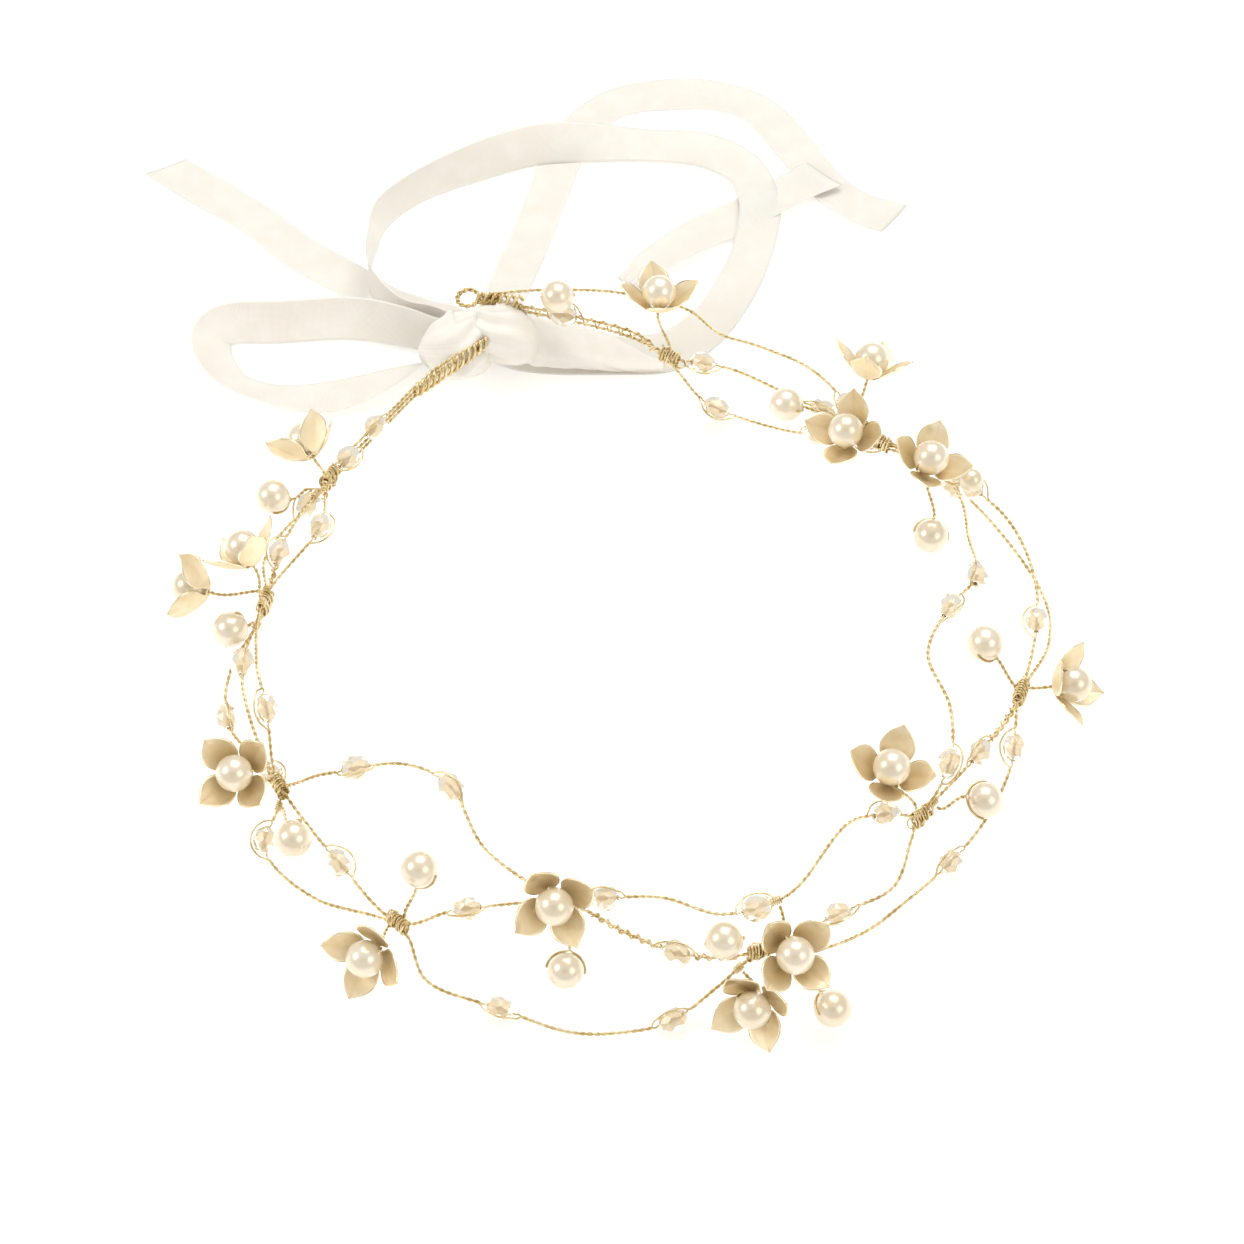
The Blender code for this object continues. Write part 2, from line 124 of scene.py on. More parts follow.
# %% A finish
class Finish(Nodes):
    """A material built round one Principled shader."""

    def __init__(self, name, **constants):
        self.material = bpy.data.materials.new(name)
        self.material.use_nodes = True
        super().__init__(self.material.node_tree, "Principled BSDF")
        for socket, value in constants.items():
            self.feed(socket.replace("_", " "), value)

    def mark(self, name):
        """A number kept on the points of the piece itself."""
        return self.node("ShaderNodeAttribute", {"attribute_name": name}, {}, "Fac")

    def clouds(self, size, detail=2.0):
        """Soft blotches about so many metres across, from 0 to 1."""
        where = self.node("ShaderNodeTexCoord", {}, {}, "Object")
        return self.node("ShaderNodeTexNoise", {}, {"Vector": where, "Scale": 1 / size, "Detail": detail})

    def wave(self, value, pitch):
        """The sine of a length, which comes back after each pitch."""
        return value.maths("SINE", value * (math.tau / pitch))

    def bump(self, height, depth):
        """Tilts the surface as if it rose by so many metres where height is 1."""
        self.feed("Normal", self.node("ShaderNodeBump", {}, {"Height": height, "Distance": depth}))

# %% [markdown]
# ## Camera and light
# The crown lies on a white table in bright, soft light, so that its gold glows and its shadows almost vanish.
# A long lens from 56 degrees above the table keeps the ring's far side nearly as large as its near side.
# Large area lamps on three sides give the pearls and petals broad highlights, and a pale world does the rest.
# Polished gold in an evenly white room would look white, so the room has one softly darker, warmer part, in
# front of the table and above it. The plain display curve keeps white cloth white and gold its own colour.

# %% Camera
VIEW_ELEVATION = math.radians(56)
VIEW_TARGET = Vector((-0.0042, 0.004, 0.015))
LENS = 85
SENSOR = 36
SEEN_WIDTH = 0.27644444
CLIP_START = 0.01

distance = SEEN_WIDTH * LENS / SENSOR
camera = bpy.data.objects.new("camera", bpy.data.cameras.new("camera"))
camera.data.lens = LENS
camera.data.sensor_width = SENSOR
camera.data.clip_start = CLIP_START
backwards = Vector((0, -math.cos(VIEW_ELEVATION), math.sin(VIEW_ELEVATION)))
camera.location = VIEW_TARGET + distance * backwards
camera.rotation_euler = (math.pi / 2 - VIEW_ELEVATION, 0, 0)
bpy.context.scene.collection.objects.link(camera)
bpy.context.scene.camera = camera
print(f"camera {distance:.3f} m from the ring")

# %% Lamps
LAMPS = {  # place, width and power of each soft lamp, all aimed at the ring
    "overhead": ((0.10, 0.60, 1.0), 0.8, 5.6),
    "left": ((-1.0, -0.1, 0.8), 0.6, 3.0),
    "right": ((0.9, -0.6, 0.9), 0.8, 2.6),
}
LAMP_COLOUR = (1.0, 0.985, 0.96)
for name, (place, width, power) in LAMPS.items():
    lamp = bpy.data.objects.new(f"lamp_{name}", bpy.data.lights.new(f"lamp_{name}", "AREA"))
    lamp.data.size = width
    lamp.data.energy = power
    lamp.data.color = LAMP_COLOUR
    lamp.location = place
    lamp.rotation_euler = (VIEW_TARGET - Vector(place)).to_track_quat("-Z", "Y").to_euler()
    bpy.context.scene.collection.objects.link(lamp)
print(len(LAMPS), "lamps")

# %% The room around
# The darker part is where two sums of the direction's x, y and z are both near 0: it is round that line.
ROOM_STRENGTH = 0.72
ROOM_COLOUR = (1.0, 0.985, 0.95, 1)
DARKER_COLOUR = (0.70, 0.64, 0.53, 1)
SIDEWAYS_SUM = (1.9, 0, 0)
FORWARD_SUM = (0, 3.3, 2.2)

world = bpy.data.worlds.new("pale_room")
world.use_nodes = True
bpy.context.scene.world = world
room = Nodes(world.node_tree, "Background")
direction = room.node("ShaderNodeTexCoord", {}, {}, "Generated")
sideways, forward = (
    room.node("ShaderNodeVectorMath", {"operation": "DOT_PRODUCT"}, {0: direction, 1: weights}, "Value")
    for weights in (SIDEWAYS_SUM, FORWARD_SUM)
)
darker = room.between(sideways * sideways + forward * forward, 1.2, 0.3)
room.feed("Color", room.mix(darker, ROOM_COLOUR, DARKER_COLOUR))
room.feed("Strength", ROOM_STRENGTH)
bpy.context.scene.view_settings.view_transform = "Standard"
print("world", world.name)

# %% [markdown]
# ## The five finishes
# The wires are brass with a pale champagne plating, a little uneven where the plating pooled. The petals have
# the same plating over a brushed face, with painted dark reflections as darker patches near their tips, and
# their cut rims are smoother and carry a painted highlight, a lighter gold. The pearls are ivory nacre under
# a clear coat. The beads are clear glass with a warm tint, and the ribbon is organza: fine threads with gaps
# between, and a denser woven edge. Each finish is a formula over the piece itself, so that it goes along when
# the piece moves.

# %% Gold wire
PALE_GOLD = (0.86, 0.73, 0.47, 1)
DEEP_GOLD = (0.61, 0.46, 0.21, 1)

wire_finish = Finish("champagne_gold_wire", Metallic=1.0)
pooling = wire_finish.between(wire_finish.clouds(0.0030), 0.35, 0.65)
scuffs = wire_finish.clouds(0.0004, 3.0)
wire_finish.feed("Base Color", wire_finish.mix(pooling, DEEP_GOLD, PALE_GOLD))
wire_finish.feed("Roughness", 0.20 + 0.18 * scuffs)
wire_finish.bump(scuffs, 0.00002)
print("finish", wire_finish.material.name)

# %% Petal gold
PETAL_SHADE = (0.86, 0.73, 0.49, 1)
PETAL_LIGHT = (0.94, 0.83, 0.62, 1)
# Colour of the painted dark reflections: patches near the petals' tips that stand for the darker room
# mirrored in them
PETAL_PAINTED_DARK_REFLECTION = (0.45, 0.32, 0.15, 1)
# Colour of the rims' painted highlight: lighter gold where the cut edge catches the light
PETAL_RIM_PAINTED_HIGHLIGHT = (0.95, 0.85, 0.63, 1)

petal_finish = Finish("brushed_petal_gold", Metallic=1.0)
side_place = petal_finish.mark("across")
tip_place = petal_finish.mark("along")
grain_place = petal_finish.node("ShaderNodeCombineXYZ", {}, {"X": side_place * 22, "Y": tip_place * 2})
grain = petal_finish.node("ShaderNodeTexNoise", {}, {"Vector": grain_place, "Scale": 3.0, "Detail": 3.0})
# The rim is smoother, and its lighter colour is a painted highlight along the cut edge
rim = petal_finish.between(side_place.size(), 0.86, 0.99)
tone = petal_finish.between(petal_finish.clouds(0.0045), 0.3, 0.7)
# Painted dark reflections: darker patches, near the tips only, stand for the darker room mirrored in the gold
patches = petal_finish.between(petal_finish.clouds(0.0060, 1.0), 0.60, 0.80)
painted_dark_reflection = patches * petal_finish.between(tip_place, 0.5, 0.9)
brushed = petal_finish.mix(painted_dark_reflection, petal_finish.mix(tone, PETAL_SHADE, PETAL_LIGHT), PETAL_PAINTED_DARK_REFLECTION)
petal_finish.feed("Base Color", petal_finish.mix(rim, brushed, PETAL_RIM_PAINTED_HIGHLIGHT))
petal_finish.feed("Roughness", 0.42 + 0.14 * grain - 0.24 * rim)
petal_finish.bump(grain * (1 - rim), 0.00003)
print("finish", petal_finish.material.name)

# %% Pearl
NACRE_SHADE = (0.80, 0.69, 0.50, 1)
NACRE_LIGHT = (0.88, 0.79, 0.64, 1)

pearl_finish = Finish(
    "ivory_pearl", Coat_Weight=1.0, Coat_Roughness=0.16, Coat_IOR=1.7, Subsurface_Weight=0.15,
    Subsurface_Scale=0.0010, Specular_IOR_Level=0.8, Metallic=0.45,
)
nacre = pearl_finish.between(pearl_finish.clouds(0.0090), 0.3, 0.7)
growth = pearl_finish.clouds(0.0015, 3.0)
pearl_finish.feed("Base Color", pearl_finish.mix(nacre, NACRE_SHADE, NACRE_LIGHT))
pearl_finish.feed("Roughness", 0.26 + 0.06 * growth)
pearl_finish.bump(growth, 0.000004)
print("finish", pearl_finish.material.name)

# %% Glass
GLASS_DEEP = (0.80, 0.66, 0.42, 1)
GLASS_PALE = (0.96, 0.88, 0.72, 1)

glass_finish = Finish("champagne_glass", Transmission_Weight=0.62, IOR=1.50, Coat_Weight=0.5)
wash = glass_finish.clouds(0.0020)
glass_finish.feed("Base Color", glass_finish.mix(wash, GLASS_DEEP, GLASS_PALE))
glass_finish.feed("Roughness", 0.02 + 0.06 * wash)
print("finish", glass_finish.material.name)

# %% Organza ribbon
THREAD_PITCH = 0.00028
RIBBON_WIDTH = 0.0105
CLOTH_SHADE = (0.90, 0.865, 0.80, 1)
CLOTH_LIGHT = (0.93, 0.90, 0.85, 1)
SELVEDGE = (0.95, 0.925, 0.88, 1)
FULL_OPACITY = 0.97
EDGE_OPACITY = 0.96


def organza(name, gap_opacity):
    """Two sines for the threads both ways, and a denser band where the ribbon's own edge was woven.

    The threads' sum runs from 0 to 1, and the opacity from that of the gaps to nearly full.
    """
    made = Finish(name, Sheen_Weight=0.4, Sheen_Roughness=0.4, Subsurface_Weight=0.1, Subsurface_Scale=0.0005)
    warp = made.wave(made.mark("across") * (RIBBON_WIDTH / 2), THREAD_PITCH)
    weft = made.wave(made.mark("along"), THREAD_PITCH)
    threads = 0.5 + 0.25 * warp + 0.25 * weft
    selvedge = made.between(made.mark("across").size(), 0.88, 0.94)
    slub = made.between(made.clouds(0.0060), 0.35, 0.7)
    made.feed("Base Color", made.mix(selvedge, made.mix(slub, CLOTH_SHADE, CLOTH_LIGHT), SELVEDGE))
    made.feed("Roughness", 0.50 - 0.15 * threads)
    opacity = gap_opacity + (FULL_OPACITY - gap_opacity) * threads
    made.feed("Alpha", opacity.maths("MAXIMUM", opacity, selvedge * EDGE_OPACITY))
    made.bump(threads, 0.00004)
    return made


ribbon_finish = organza("ivory_organza", 0.72)
knot_finish = organza("ivory_organza_in_layers", 0.93)
print("finish", ribbon_finish.material.name, "and", knot_finish.material.name)

# %% [markdown]
# ## Surfaces from two parameters
# Every new piece here is a sheet of points, worked out as one array: along a path and round it for a wire,
# from base to tip and from side to side for a petal. The helpers below find directions, join such a grid's
# points into faces, carry a circle along a path, and put the result into the scene on its body of the frame.

# %% Directions
UP = np.array((0.0, 0.0, 1.0))


def unit(vectors):
    """Each vector divided by its own length."""
    return vectors / np.linalg.norm(vectors, axis=-1, keepdims=True)


def square_to(direction):
    """Two directions square to a given one: one level, and one upwards."""
    side = unit(np.cross(direction, UP))
    return side, np.cross(side, direction)


def around(first, second, angle):
    """A point of a circle or an oval: first times cos angle + second times sin angle."""
    return first * np.cos(angle) + second * np.sin(angle)


print("level and upwards, square to +X:", *square_to(np.array((1.0, 0.0, 0.0))))

# %% Grid faces
def grid_faces(rows, columns, round_columns=False):
    """Four-cornered faces between neighbours of a grid, whose last column may join its first."""
    i = np.arange(rows - 1)[:, None]
    j = np.arange(columns if round_columns else columns - 1)[None, :]
    j_next = (j + 1) % columns
    corners = (i * columns + j, i * columns + j_next, (i + 1) * columns + j_next, (i + 1) * columns + j)
    return np.stack(corners, -1).reshape(-1, 4)


def closed_tube_faces(rows, sides):
    """The faces round a tube, and one flat face at each end."""
    start = np.arange(sides)[None, ::-1]
    end = np.arange(sides)[None, :] + (rows - 1) * sides
    return [grid_faces(rows, sides, round_columns=True), start, end]


print("a grid of 3 by 4 points has", len(grid_faces(3, 4)), "faces")

# %% Tubes
def tube(path, radius, sides, reference):
    """A circle carried along the path.

    The path's direction T and the reference's part square to it, n, give b = T x n, and a point is
    path + radius (n cos angle + b sin angle).
    """
    direction = unit(np.gradient(path, axis=0))
    reference = np.broadcast_to(reference, path.shape)
    n = unit(reference - (reference * direction).sum(-1, keepdims=True) * direction)
    b = np.cross(direction, n)
    angle = np.arange(sides) * math.tau / sides
    radius = np.broadcast_to(radius, len(path))[:, None, None]
    points = path[:, None] + radius * around(n[:, None], b[:, None], angle[:, None])
    return points.reshape(-1, 3), closed_tube_faces(len(path), sides)


def evenly(path, step, measured=3):
    """The path with its points one step apart along its length, which is taken over its first coordinates."""
    run = np.concatenate([[0], np.cumsum(np.linalg.norm(np.diff(path[:, :measured], axis=0), axis=1))])
    places = np.linspace(0, run[-1], max(2, round(run[-1] / step) + 1))
    return np.stack([np.interp(places, run, column) for column in path.T], -1)


FINE_PARTS = 40


def curve_through(stops, step, measured=3):
    """A smooth curve through the stops: between b and c, with a before and d after and t from 0 to 1, it is
    half of 2b + (c - a) t + (2a - 5b + 4c - d) t^2 + (3b - a - 3c + d) t^3."""
    stops = np.asarray(stops, float)
    ends = np.vstack([2 * stops[0] - stops[1], stops, 2 * stops[-1] - stops[-2]])
    place = np.linspace(0, len(stops) - 1, FINE_PARTS * (len(stops) - 1) + 1)
    i = np.minimum(place.astype(int), len(stops) - 2)
    t = (place - i)[:, None]
    a, b, c, d = ends[i], ends[i + 1], ends[i + 2], ends[i + 3]
    curve = 0.5 * (2 * b + (c - a) * t + (2 * a - 5 * b + 4 * c - d) * t**2 + (3 * b - a - 3 * c + d) * t**3)
    return evenly(curve, step, measured)

# %% Pieces
def add_piece(name, surfaces, finish, body, replaces=(), smooth=True, marks=None):
    """One mesh object from several surfaces, each its points and lists of faces, riding on a body."""
    counts = np.cumsum([0] + [len(points) for points, _ in surfaces])
    points = np.concatenate([points for points, _ in surfaces])
    faces = []
    for start, (_, groups) in zip(counts, surfaces):
        for group in groups:
            faces += (group + start).tolist()
    mesh = bpy.data.meshes.new(name)
    mesh.from_pydata(points.tolist(), [], faces)
    mesh.update()
    if smooth:
        mesh.shade_smooth()
    for mark, values in (marks or {}).items():
        values = np.ravel(values).astype(np.float32)
        mesh.attributes.new(mark, "FLOAT", "POINT").data.foreach_set("value", values)
    mesh.materials.append(finish.material)
    made = bpy.data.objects.new(name, mesh)
    bpy.context.scene.collection.objects.link(made)
    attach(made, body)
    if replaces:
        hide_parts(*replaces)
    return made


def add_wire(name, surfaces, body=RING_BODY, replaces=()):
    """A piece of gold wire, which rides on the ring if nothing else is said."""
    add_piece(name, surfaces, wire_finish, body, replaces)


def thicken(made, thickness):
    """A sheet's own thickness, half on each side of it."""
    wall = made.modifiers.new("wall", "SOLIDIFY")
    wall.thickness = thickness
    wall.offset = 0


# %% [markdown]
# ## The way of the wires
# The ring is described by places round it: a bearing in degrees anticlockwise from +X seen from above, a
# share of the ring's radius, and a height above the table in millimetres. Where stems bind the three strands
# together they share one place and lie one above the other. These stops are the ones that the solid model was
# built from, so that the new wires follow the solid ones.

# %% Places on the ring
MM = 0.001
RING_WIDTH = 0.183
RING_DEPTH = 0.180
STRAND_PITCH = 1.7

CLUSTERS = {
    "A": (148, 0.92, 15), "B": (174, 0.92, 16), "C": (207, 0.95, 16), "D": (234, 0.95, 11),
    "E": (257, 0.80, 21), "F": (287, 0.90, 14), "G": (320, 0.84, 20), "H": (349, 0.92, 17),
    "J": (396, 0.89, 17.5), "M": (404, 0.84, 17.5), "K": (445, 0.87, 17),
}
ROUTES = {
    "upper": [
        (113, 1.03, 14.5), (122, 1.00, 14.3), (135, 0.94, 15), "A", (161, 0.83, 23), "B", (189, 0.92, 26),
        (198, 0.92, 26), "C", (213, 0.87, 27), (221, 0.73, 32), (231, 0.69, 31), (243, 0.77, 28), "E",
        (264, 0.80, 26), (273, 0.82, 30), (281, 0.87, 29), (288, 0.87, 28), (294, 0.86, 30),
        (306, 0.78, 30), (314, 0.80, 26), "G", (327, 0.84, 29), (336, 0.78, 31), (346, 0.69, 31),
        (358, 0.73, 30), (366, 0.81, 28), (376, 0.83, 24), (386, 0.88, 20), "J", "M", (418, 0.84, 28),
        (428, 0.83, 31), (436, 0.84, 31), (442, 0.92, 29), (448, 0.97, 27), (455, 1.03, 24),
        (464, 1.10, 20), (471, 1.15, 17.5),
    ],
    "middle": [
        (113, 1.03, 13), (122, 1.00, 12.8), (135, 0.94, 13.4), "A", (162, 0.92, 17), "B", (185, 0.96, 16),
        (195, 0.96, 17), "C", (222, 0.94, 14), "D", (242, 0.88, 18), "E", (268, 0.83, 16),
        (277, 0.88, 14), "F", (300, 0.89, 15), (309, 0.91, 16), (316, 0.86, 19), "G", (335, 0.87, 20),
        "H", (366, 0.97, 17), (381, 0.97, 17), "J", "M", (411, 0.83, 18), (421, 0.83, 17), (434, 0.85, 18),
        "K", (451, 0.94, 18), (461, 1.03, 17), (471, 1.15, 16),
    ],
    "lower": [
        (113, 1.03, 11.5), (122, 1.00, 11.3), (135, 0.94, 11.8), "A", (163, 0.97, 11), "B", (183, 1.00, 8),
        (192, 1.01, 7), "C", (212, 1.04, 7), (221, 1.01, 4), "D", (241, 1.01, 4), (251, 1.00, 2.9),
        (260, 1.01, 1.2), (267, 1.00, 1.2), (274, 0.98, 2.9), (281, 0.93, 8), "F", (296, 0.91, 7),
        (305, 0.90, 1.2), (313, 0.90, 1.2), (322, 0.92, 4), (330, 0.94, 9), (339, 0.94, 12), "H",
        (360, 0.99, 12), (371, 1.01, 8), (385, 0.96, 10), "J", "M", (409, 0.83, 14), (415, 0.83, 9),
        (422, 0.83, 4), (432, 0.83, 3), (439, 0.84, 6), "K", (451, 0.94, 16), (461, 1.03, 15.2),
        (471, 1.15, 14.5),
    ],
}
STACK = {"upper": 1, "middle": 0, "lower": -1}


def ring_point(bearing, share, height):
    """x = share of half the width times the cosine of the bearing, y the same with the depth and sine."""
    angle = math.radians(bearing)
    x = share * RING_WIDTH / 2 * math.cos(angle)
    y = share * RING_DEPTH / 2 * math.sin(angle)
    return np.array((x, y, height * MM))


def strand_stop(strand, stop):
    """A stop is a place, or a cluster's letter, where the strands are one pitch apart."""
    if isinstance(stop, str):
        bearing, share, height = CLUSTERS[stop]
        return ring_point(bearing, share, height + STACK[strand] * STRAND_PITCH)
    return ring_point(*stop)


print(len(CLUSTERS), "clusters round a ring", RING_WIDTH, "m wide")

# %% The three strands' middle lines
WIRE_STEP = 0.00030

strands = {
    name: curve_through([strand_stop(name, stop) for stop in stops], WIRE_STEP)
    for name, stops in ROUTES.items()
}


def bearings_of(path):
    """The bearing of each point, growing along the strand past 360 degrees."""
    return np.degrees(np.unwrap(np.arctan2(path[:, 1] / RING_DEPTH, path[:, 0] / RING_WIDTH)))


def row_at(path, bearing):
    """The number of the strand's point nearest to a bearing."""
    return int(np.abs(bearings_of(path) - bearing).argmin())


def on_strand(path, bearing):
    """The strand's point and direction at a bearing."""
    row = row_at(path, bearing)
    return path[row], unit(path[row + 1] - path[row - 1])


for name, path in strands.items():
    print(name, len(path), "points", round(len(path) * WIRE_STEP, 3), "m")

# %% [markdown]
# ## Threaded beads
# A bead is fire-polished glass: a ball ground into rows of flat triangles, with a bore for the wire. One wire
# of a pair goes through the bore and the other bows round the outside and holds the bead in place. Where each
# bead sits is needed before the wires are made, because the wires open round it.

# %% Where the beads sit
BEAD_LENGTH = 0.0062
BEAD_WIDTH = 0.0056

MAIN_BEADS = {  # threaded beads that the solid model has too
    "bead_inner_left": ("upper", 216), "bead_inner_front": ("upper", 231),
    "bead_inner_front_right": ("upper", 287), "bead_inner_right": ("upper", 358),
    "bead_front_left": ("middle", 243), "bead_front_right": ("middle", 275),
    "bead_low_left": ("lower", 251), "bead_low_right": ("lower", 274), "bead_low_back": ("lower", 436),
}
MORE_BEADS = {  # the rest of them, by strand and bearing
    "upper": (136, 161, 198, 264, 314, 327, 366, 411),
    "middle": (143, 165, 185, 222, 300, 335, 362, 388, 416, 439, 461),
    "lower": (153, 190, 203.5, 211, 322, 341, 391, 417, 406),
}
beads = [(name, strand, bearing) for name, (strand, bearing) in MAIN_BEADS.items()]
beads += [
    (f"glass_{strand}_{number + 1}", strand, bearing)
    for strand, bearings in MORE_BEADS.items()
    for number, bearing in enumerate(bearings)
]


def bead_offsets(strand):
    """How far each point of a strand is from each of its beads, along it: one row for each bead."""
    path = strands[strand]
    rows = np.array([row_at(path, bearing) for _, on, bearing in beads if on == strand])
    return (np.arange(len(path))[None, :] - rows[:, None]) * WIRE_STEP


print(len(beads), "beads")

# %% A faceted bead
BEAD_BORE = 0.0011
BEAD_SIDES = 9
BORE_SHARE = 0.96
BEAD_OUTLINE = (  # share of the half width, share of the half length, from one end to the other
    (0.40, 1.0), (0.82, 0.68), (1.0, 0.12), (0.98, -0.25), (0.76, -0.75), (0.36, -1.0),
)


def bead_surface(place, along, width, length):
    """Rings of points round the bore, each turned half a facet from the one before, joined by triangles.

    A point is place + radius (side cos angle + up sin angle) + height along.
    """
    side, up = square_to(along)
    outline = [(r * width / 2, z * length / 2) for r, z in BEAD_OUTLINE]
    outline += [(BEAD_BORE / 2, way * length / 2 * BORE_SHARE) for way in (-1, 1)]
    radius, height = np.array(outline).T
    rows = len(outline)
    angle = (np.arange(BEAD_SIDES)[None, :] + np.arange(rows)[:, None] / 2) * math.tau / BEAD_SIDES
    rings = radius[:, None, None] * around(side, up, angle[..., None])
    points = place + rings + height[:, None, None] * along
    i = np.arange(rows)[:, None]
    j = np.arange(BEAD_SIDES)[None, :]
    turned = np.where(i == rows - 1, rows // 2, 0)
    here = i * BEAD_SIDES + j
    here_next = i * BEAD_SIDES + (j + 1) % BEAD_SIDES
    there = (i + 1) % rows * BEAD_SIDES + (j + turned) % BEAD_SIDES
    there_next = (i + 1) % rows * BEAD_SIDES + (j + 1 + turned) % BEAD_SIDES
    first = np.stack([here, there, here_next], -1).reshape(-1, 3)
    second = np.stack([here_next, there, there_next], -1).reshape(-1, 3)
    return points.reshape(-1, 3), [first, second]


print("a bead is ground on", BEAD_SIDES, "sides in", len(BEAD_OUTLINE) - 1, "rows")

# %% All the beads
BEAD_SPREAD = 0.05

sizes = np.random.default_rng(7)
for name, strand, bearing in beads:
    place, along = on_strand(strands[strand], bearing)
    scale = 1 + BEAD_SPREAD * sizes.uniform(-1, 1)
    surface = bead_surface(place, along, BEAD_WIDTH * scale, BEAD_LENGTH * scale)
    replaced = [name] if name in MAIN_BEADS else []
    add_piece(f"{name}_glass", [surface], glass_finish, RING_BODY, replaced, smooth=False)
print(len(beads), "glass beads")

# %% [markdown]
# ## Twisted strands
# Each strand is two wires twisted together like a rope. Each wire is a helix: the strand's middle line plus a
# small circle that turns as the line goes on. At a bead the circle shrinks, so that one wire goes
# straight through the bore, while the other one swings out and follows the bead's outside.

# %% Twisted pairs
WIRE_WIDTH = 0.00042
TWIST_LENGTH = 0.0031
TWIST_SHARE = 0.52
BEAD_CLEAR = 0.0009
BOW_REACH = 0.0046
BOW_FULLNESS = 0.7
BOW_LEANS = np.radians((35, 105, 175))
WIRE_SIDES = 8


def crossways(path):
    """Two directions square to a path at each of its points: one level, and one upwards."""
    return square_to(unit(np.gradient(path, axis=0)))


def turning(path, pitch):
    """The angle at each point of a wire, which grows by a whole turn in each pitch."""
    return (np.arange(len(path)) * WIRE_STEP / pitch * math.tau)[:, None]


def smooth_step(values):
    """0 below 0, 1 above 1, and 3t^2 - 2t^3 between."""
    t = np.clip(values, 0, 1)
    return t * t * (3 - 2 * t)


def strand_wire(strand, number):
    """The strand's line plus a turning circle, which closes at each bead.

    The second wire bows round the bead: it goes out by (1 - (distance / reach) squared) to a power below 1,
    to one of three sides in turn.
    """
    path = strands[strand]
    side, up = crossways(path)
    away = np.abs(bead_offsets(strand))
    open_share = smooth_step((away - BEAD_LENGTH / 2) / BEAD_CLEAR).min(0)[:, None]
    turn = turning(path, TWIST_LENGTH) + number * math.pi
    wire = path + TWIST_SHARE * WIRE_WIDTH * open_share * around(side, up, turn)
    if number:
        reach = (BEAD_WIDTH / 2 + WIRE_WIDTH) * np.clip(1 - (away / BOW_REACH) ** 2, 0, 1) ** BOW_FULLNESS
        lean = BOW_LEANS[np.arange(len(away)) % len(BOW_LEANS)][:, None]
        outward = (reach * np.cos(lean)).sum(0)[:, None]
        upward = (reach * np.sin(lean)).sum(0)[:, None]
        wire = wire + side * outward + up * upward
    return tube(wire, WIRE_WIDTH / 2, WIRE_SIDES, UP)


for strand in strands:
    pair = [strand_wire(strand, number) for number in range(2)]
    add_wire(f"{strand}_wires", pair, replaces=[f"strand_{strand}"])
print("strands twisted")

# %% [markdown]
# ## Bindings
# Where stems meet the strands their tails are wound round everything, in tight coils with a few stray loops.
# A coil is an oval that turns while it moves along the bundle. A stray loop is a ring with a wave in it, and
# chance tilts it, because no hand winds wire twice in the same way.

# %% Coils
COIL_ROWS = 22
COIL_SIDES = 6
LOOP_ROWS = 60
LOOP_WAVE = 0.25
LOOP_LIFT = 0.45


def coil(start, end, across, high, turns, wire, phase=0.0):
    """An oval helix from start to end.

    A point is the line + side times across cos angle + up times high sin angle.
    """
    rows = int(COIL_ROWS * turns)
    share = np.linspace(0, 1, rows)[:, None]
    angle = math.tau * turns * share + phase
    along = unit(end - start)
    side, up = square_to(along)
    line = start + (end - start) * share + around(side * across, up * high, angle)
    return tube(line, wire / 2, COIL_SIDES, unit(around(side * high, up * across, angle)))


def stray_loop(centre, chance, radius, wire):
    """A ring tilted by chance, whose radius waves three times and whose height waves twice in a round."""
    first = unit(chance.normal(size=3))
    second = unit(np.cross(first, chance.normal(size=3)))
    third = np.cross(first, second)
    angle = np.linspace(0, math.tau * chance.uniform(1.1, 1.8), LOOP_ROWS)[:, None]
    wave = 1 + LOOP_WAVE * np.cos(3 * angle + chance.uniform(0, 6))
    lift = LOOP_LIFT * np.sin(2 * angle + chance.uniform(0, 6))
    outward = around(first, second, angle)
    return tube(centre + radius * (outward * wave + third * lift), wire / 2, COIL_SIDES, outward)


print("a coil has", COIL_ROWS, "rows of points in each turn")

# %% Cluster bindings
BINDING_LENGTH = 0.0048
BINDING_ACROSS = 0.00095
BINDING_HIGH = STRAND_PITCH * MM + 0.00075
BINDING_TURNS = 7
OUTER_TURNS = 3.5
OUTER_PHASE = 2.0
BINDING_WIRE = 0.00045
LOOPS_EACH = 4
LOOP_RADII = (0.0010, 0.0016)
LOOP_WIRE = 0.85 * BINDING_WIRE

chance = np.random.default_rng(21)
for name, (bearing, share, height) in CLUSTERS.items():
    centre = ring_point(bearing, share, height)
    along = unit(sum(on_strand(path, bearing)[1] for path in strands.values()))
    half = along * BINDING_LENGTH / 2
    start, end, outer = centre - half, centre + half, BINDING_ACROSS + BINDING_WIRE
    surfaces = [
        coil(start, end, BINDING_ACROSS, BINDING_HIGH, BINDING_TURNS, BINDING_WIRE),
        coil(end, start, outer, BINDING_HIGH, OUTER_TURNS, BINDING_WIRE, OUTER_PHASE),
    ]
    for number in range(LOOPS_EACH):
        middle = centre + along * chance.uniform(-1, 1) * BINDING_LENGTH / 2
        surfaces.append(stray_loop(middle, chance, chance.uniform(*LOOP_RADII), LOOP_WIRE))
    add_wire(f"binding_{name}", surfaces)
print(len(CLUSTERS), "bindings")

# %% Wires wound along a strand
LONG_WRAPS = [  # strand, first and last bearing and length of a turn; the second one goes round two strands
    ("middle", 262, 284, 0.0024), ("middle", 447, 468, 0.0030, 0.0009, 0.0008, 0.0014),
    ("upper", 146, 154, 0.0022), ("middle", 165, 175, 0.0024), ("middle", 404, 412, 0.0022),
    ("middle", 338, 352, 0.0024),
]


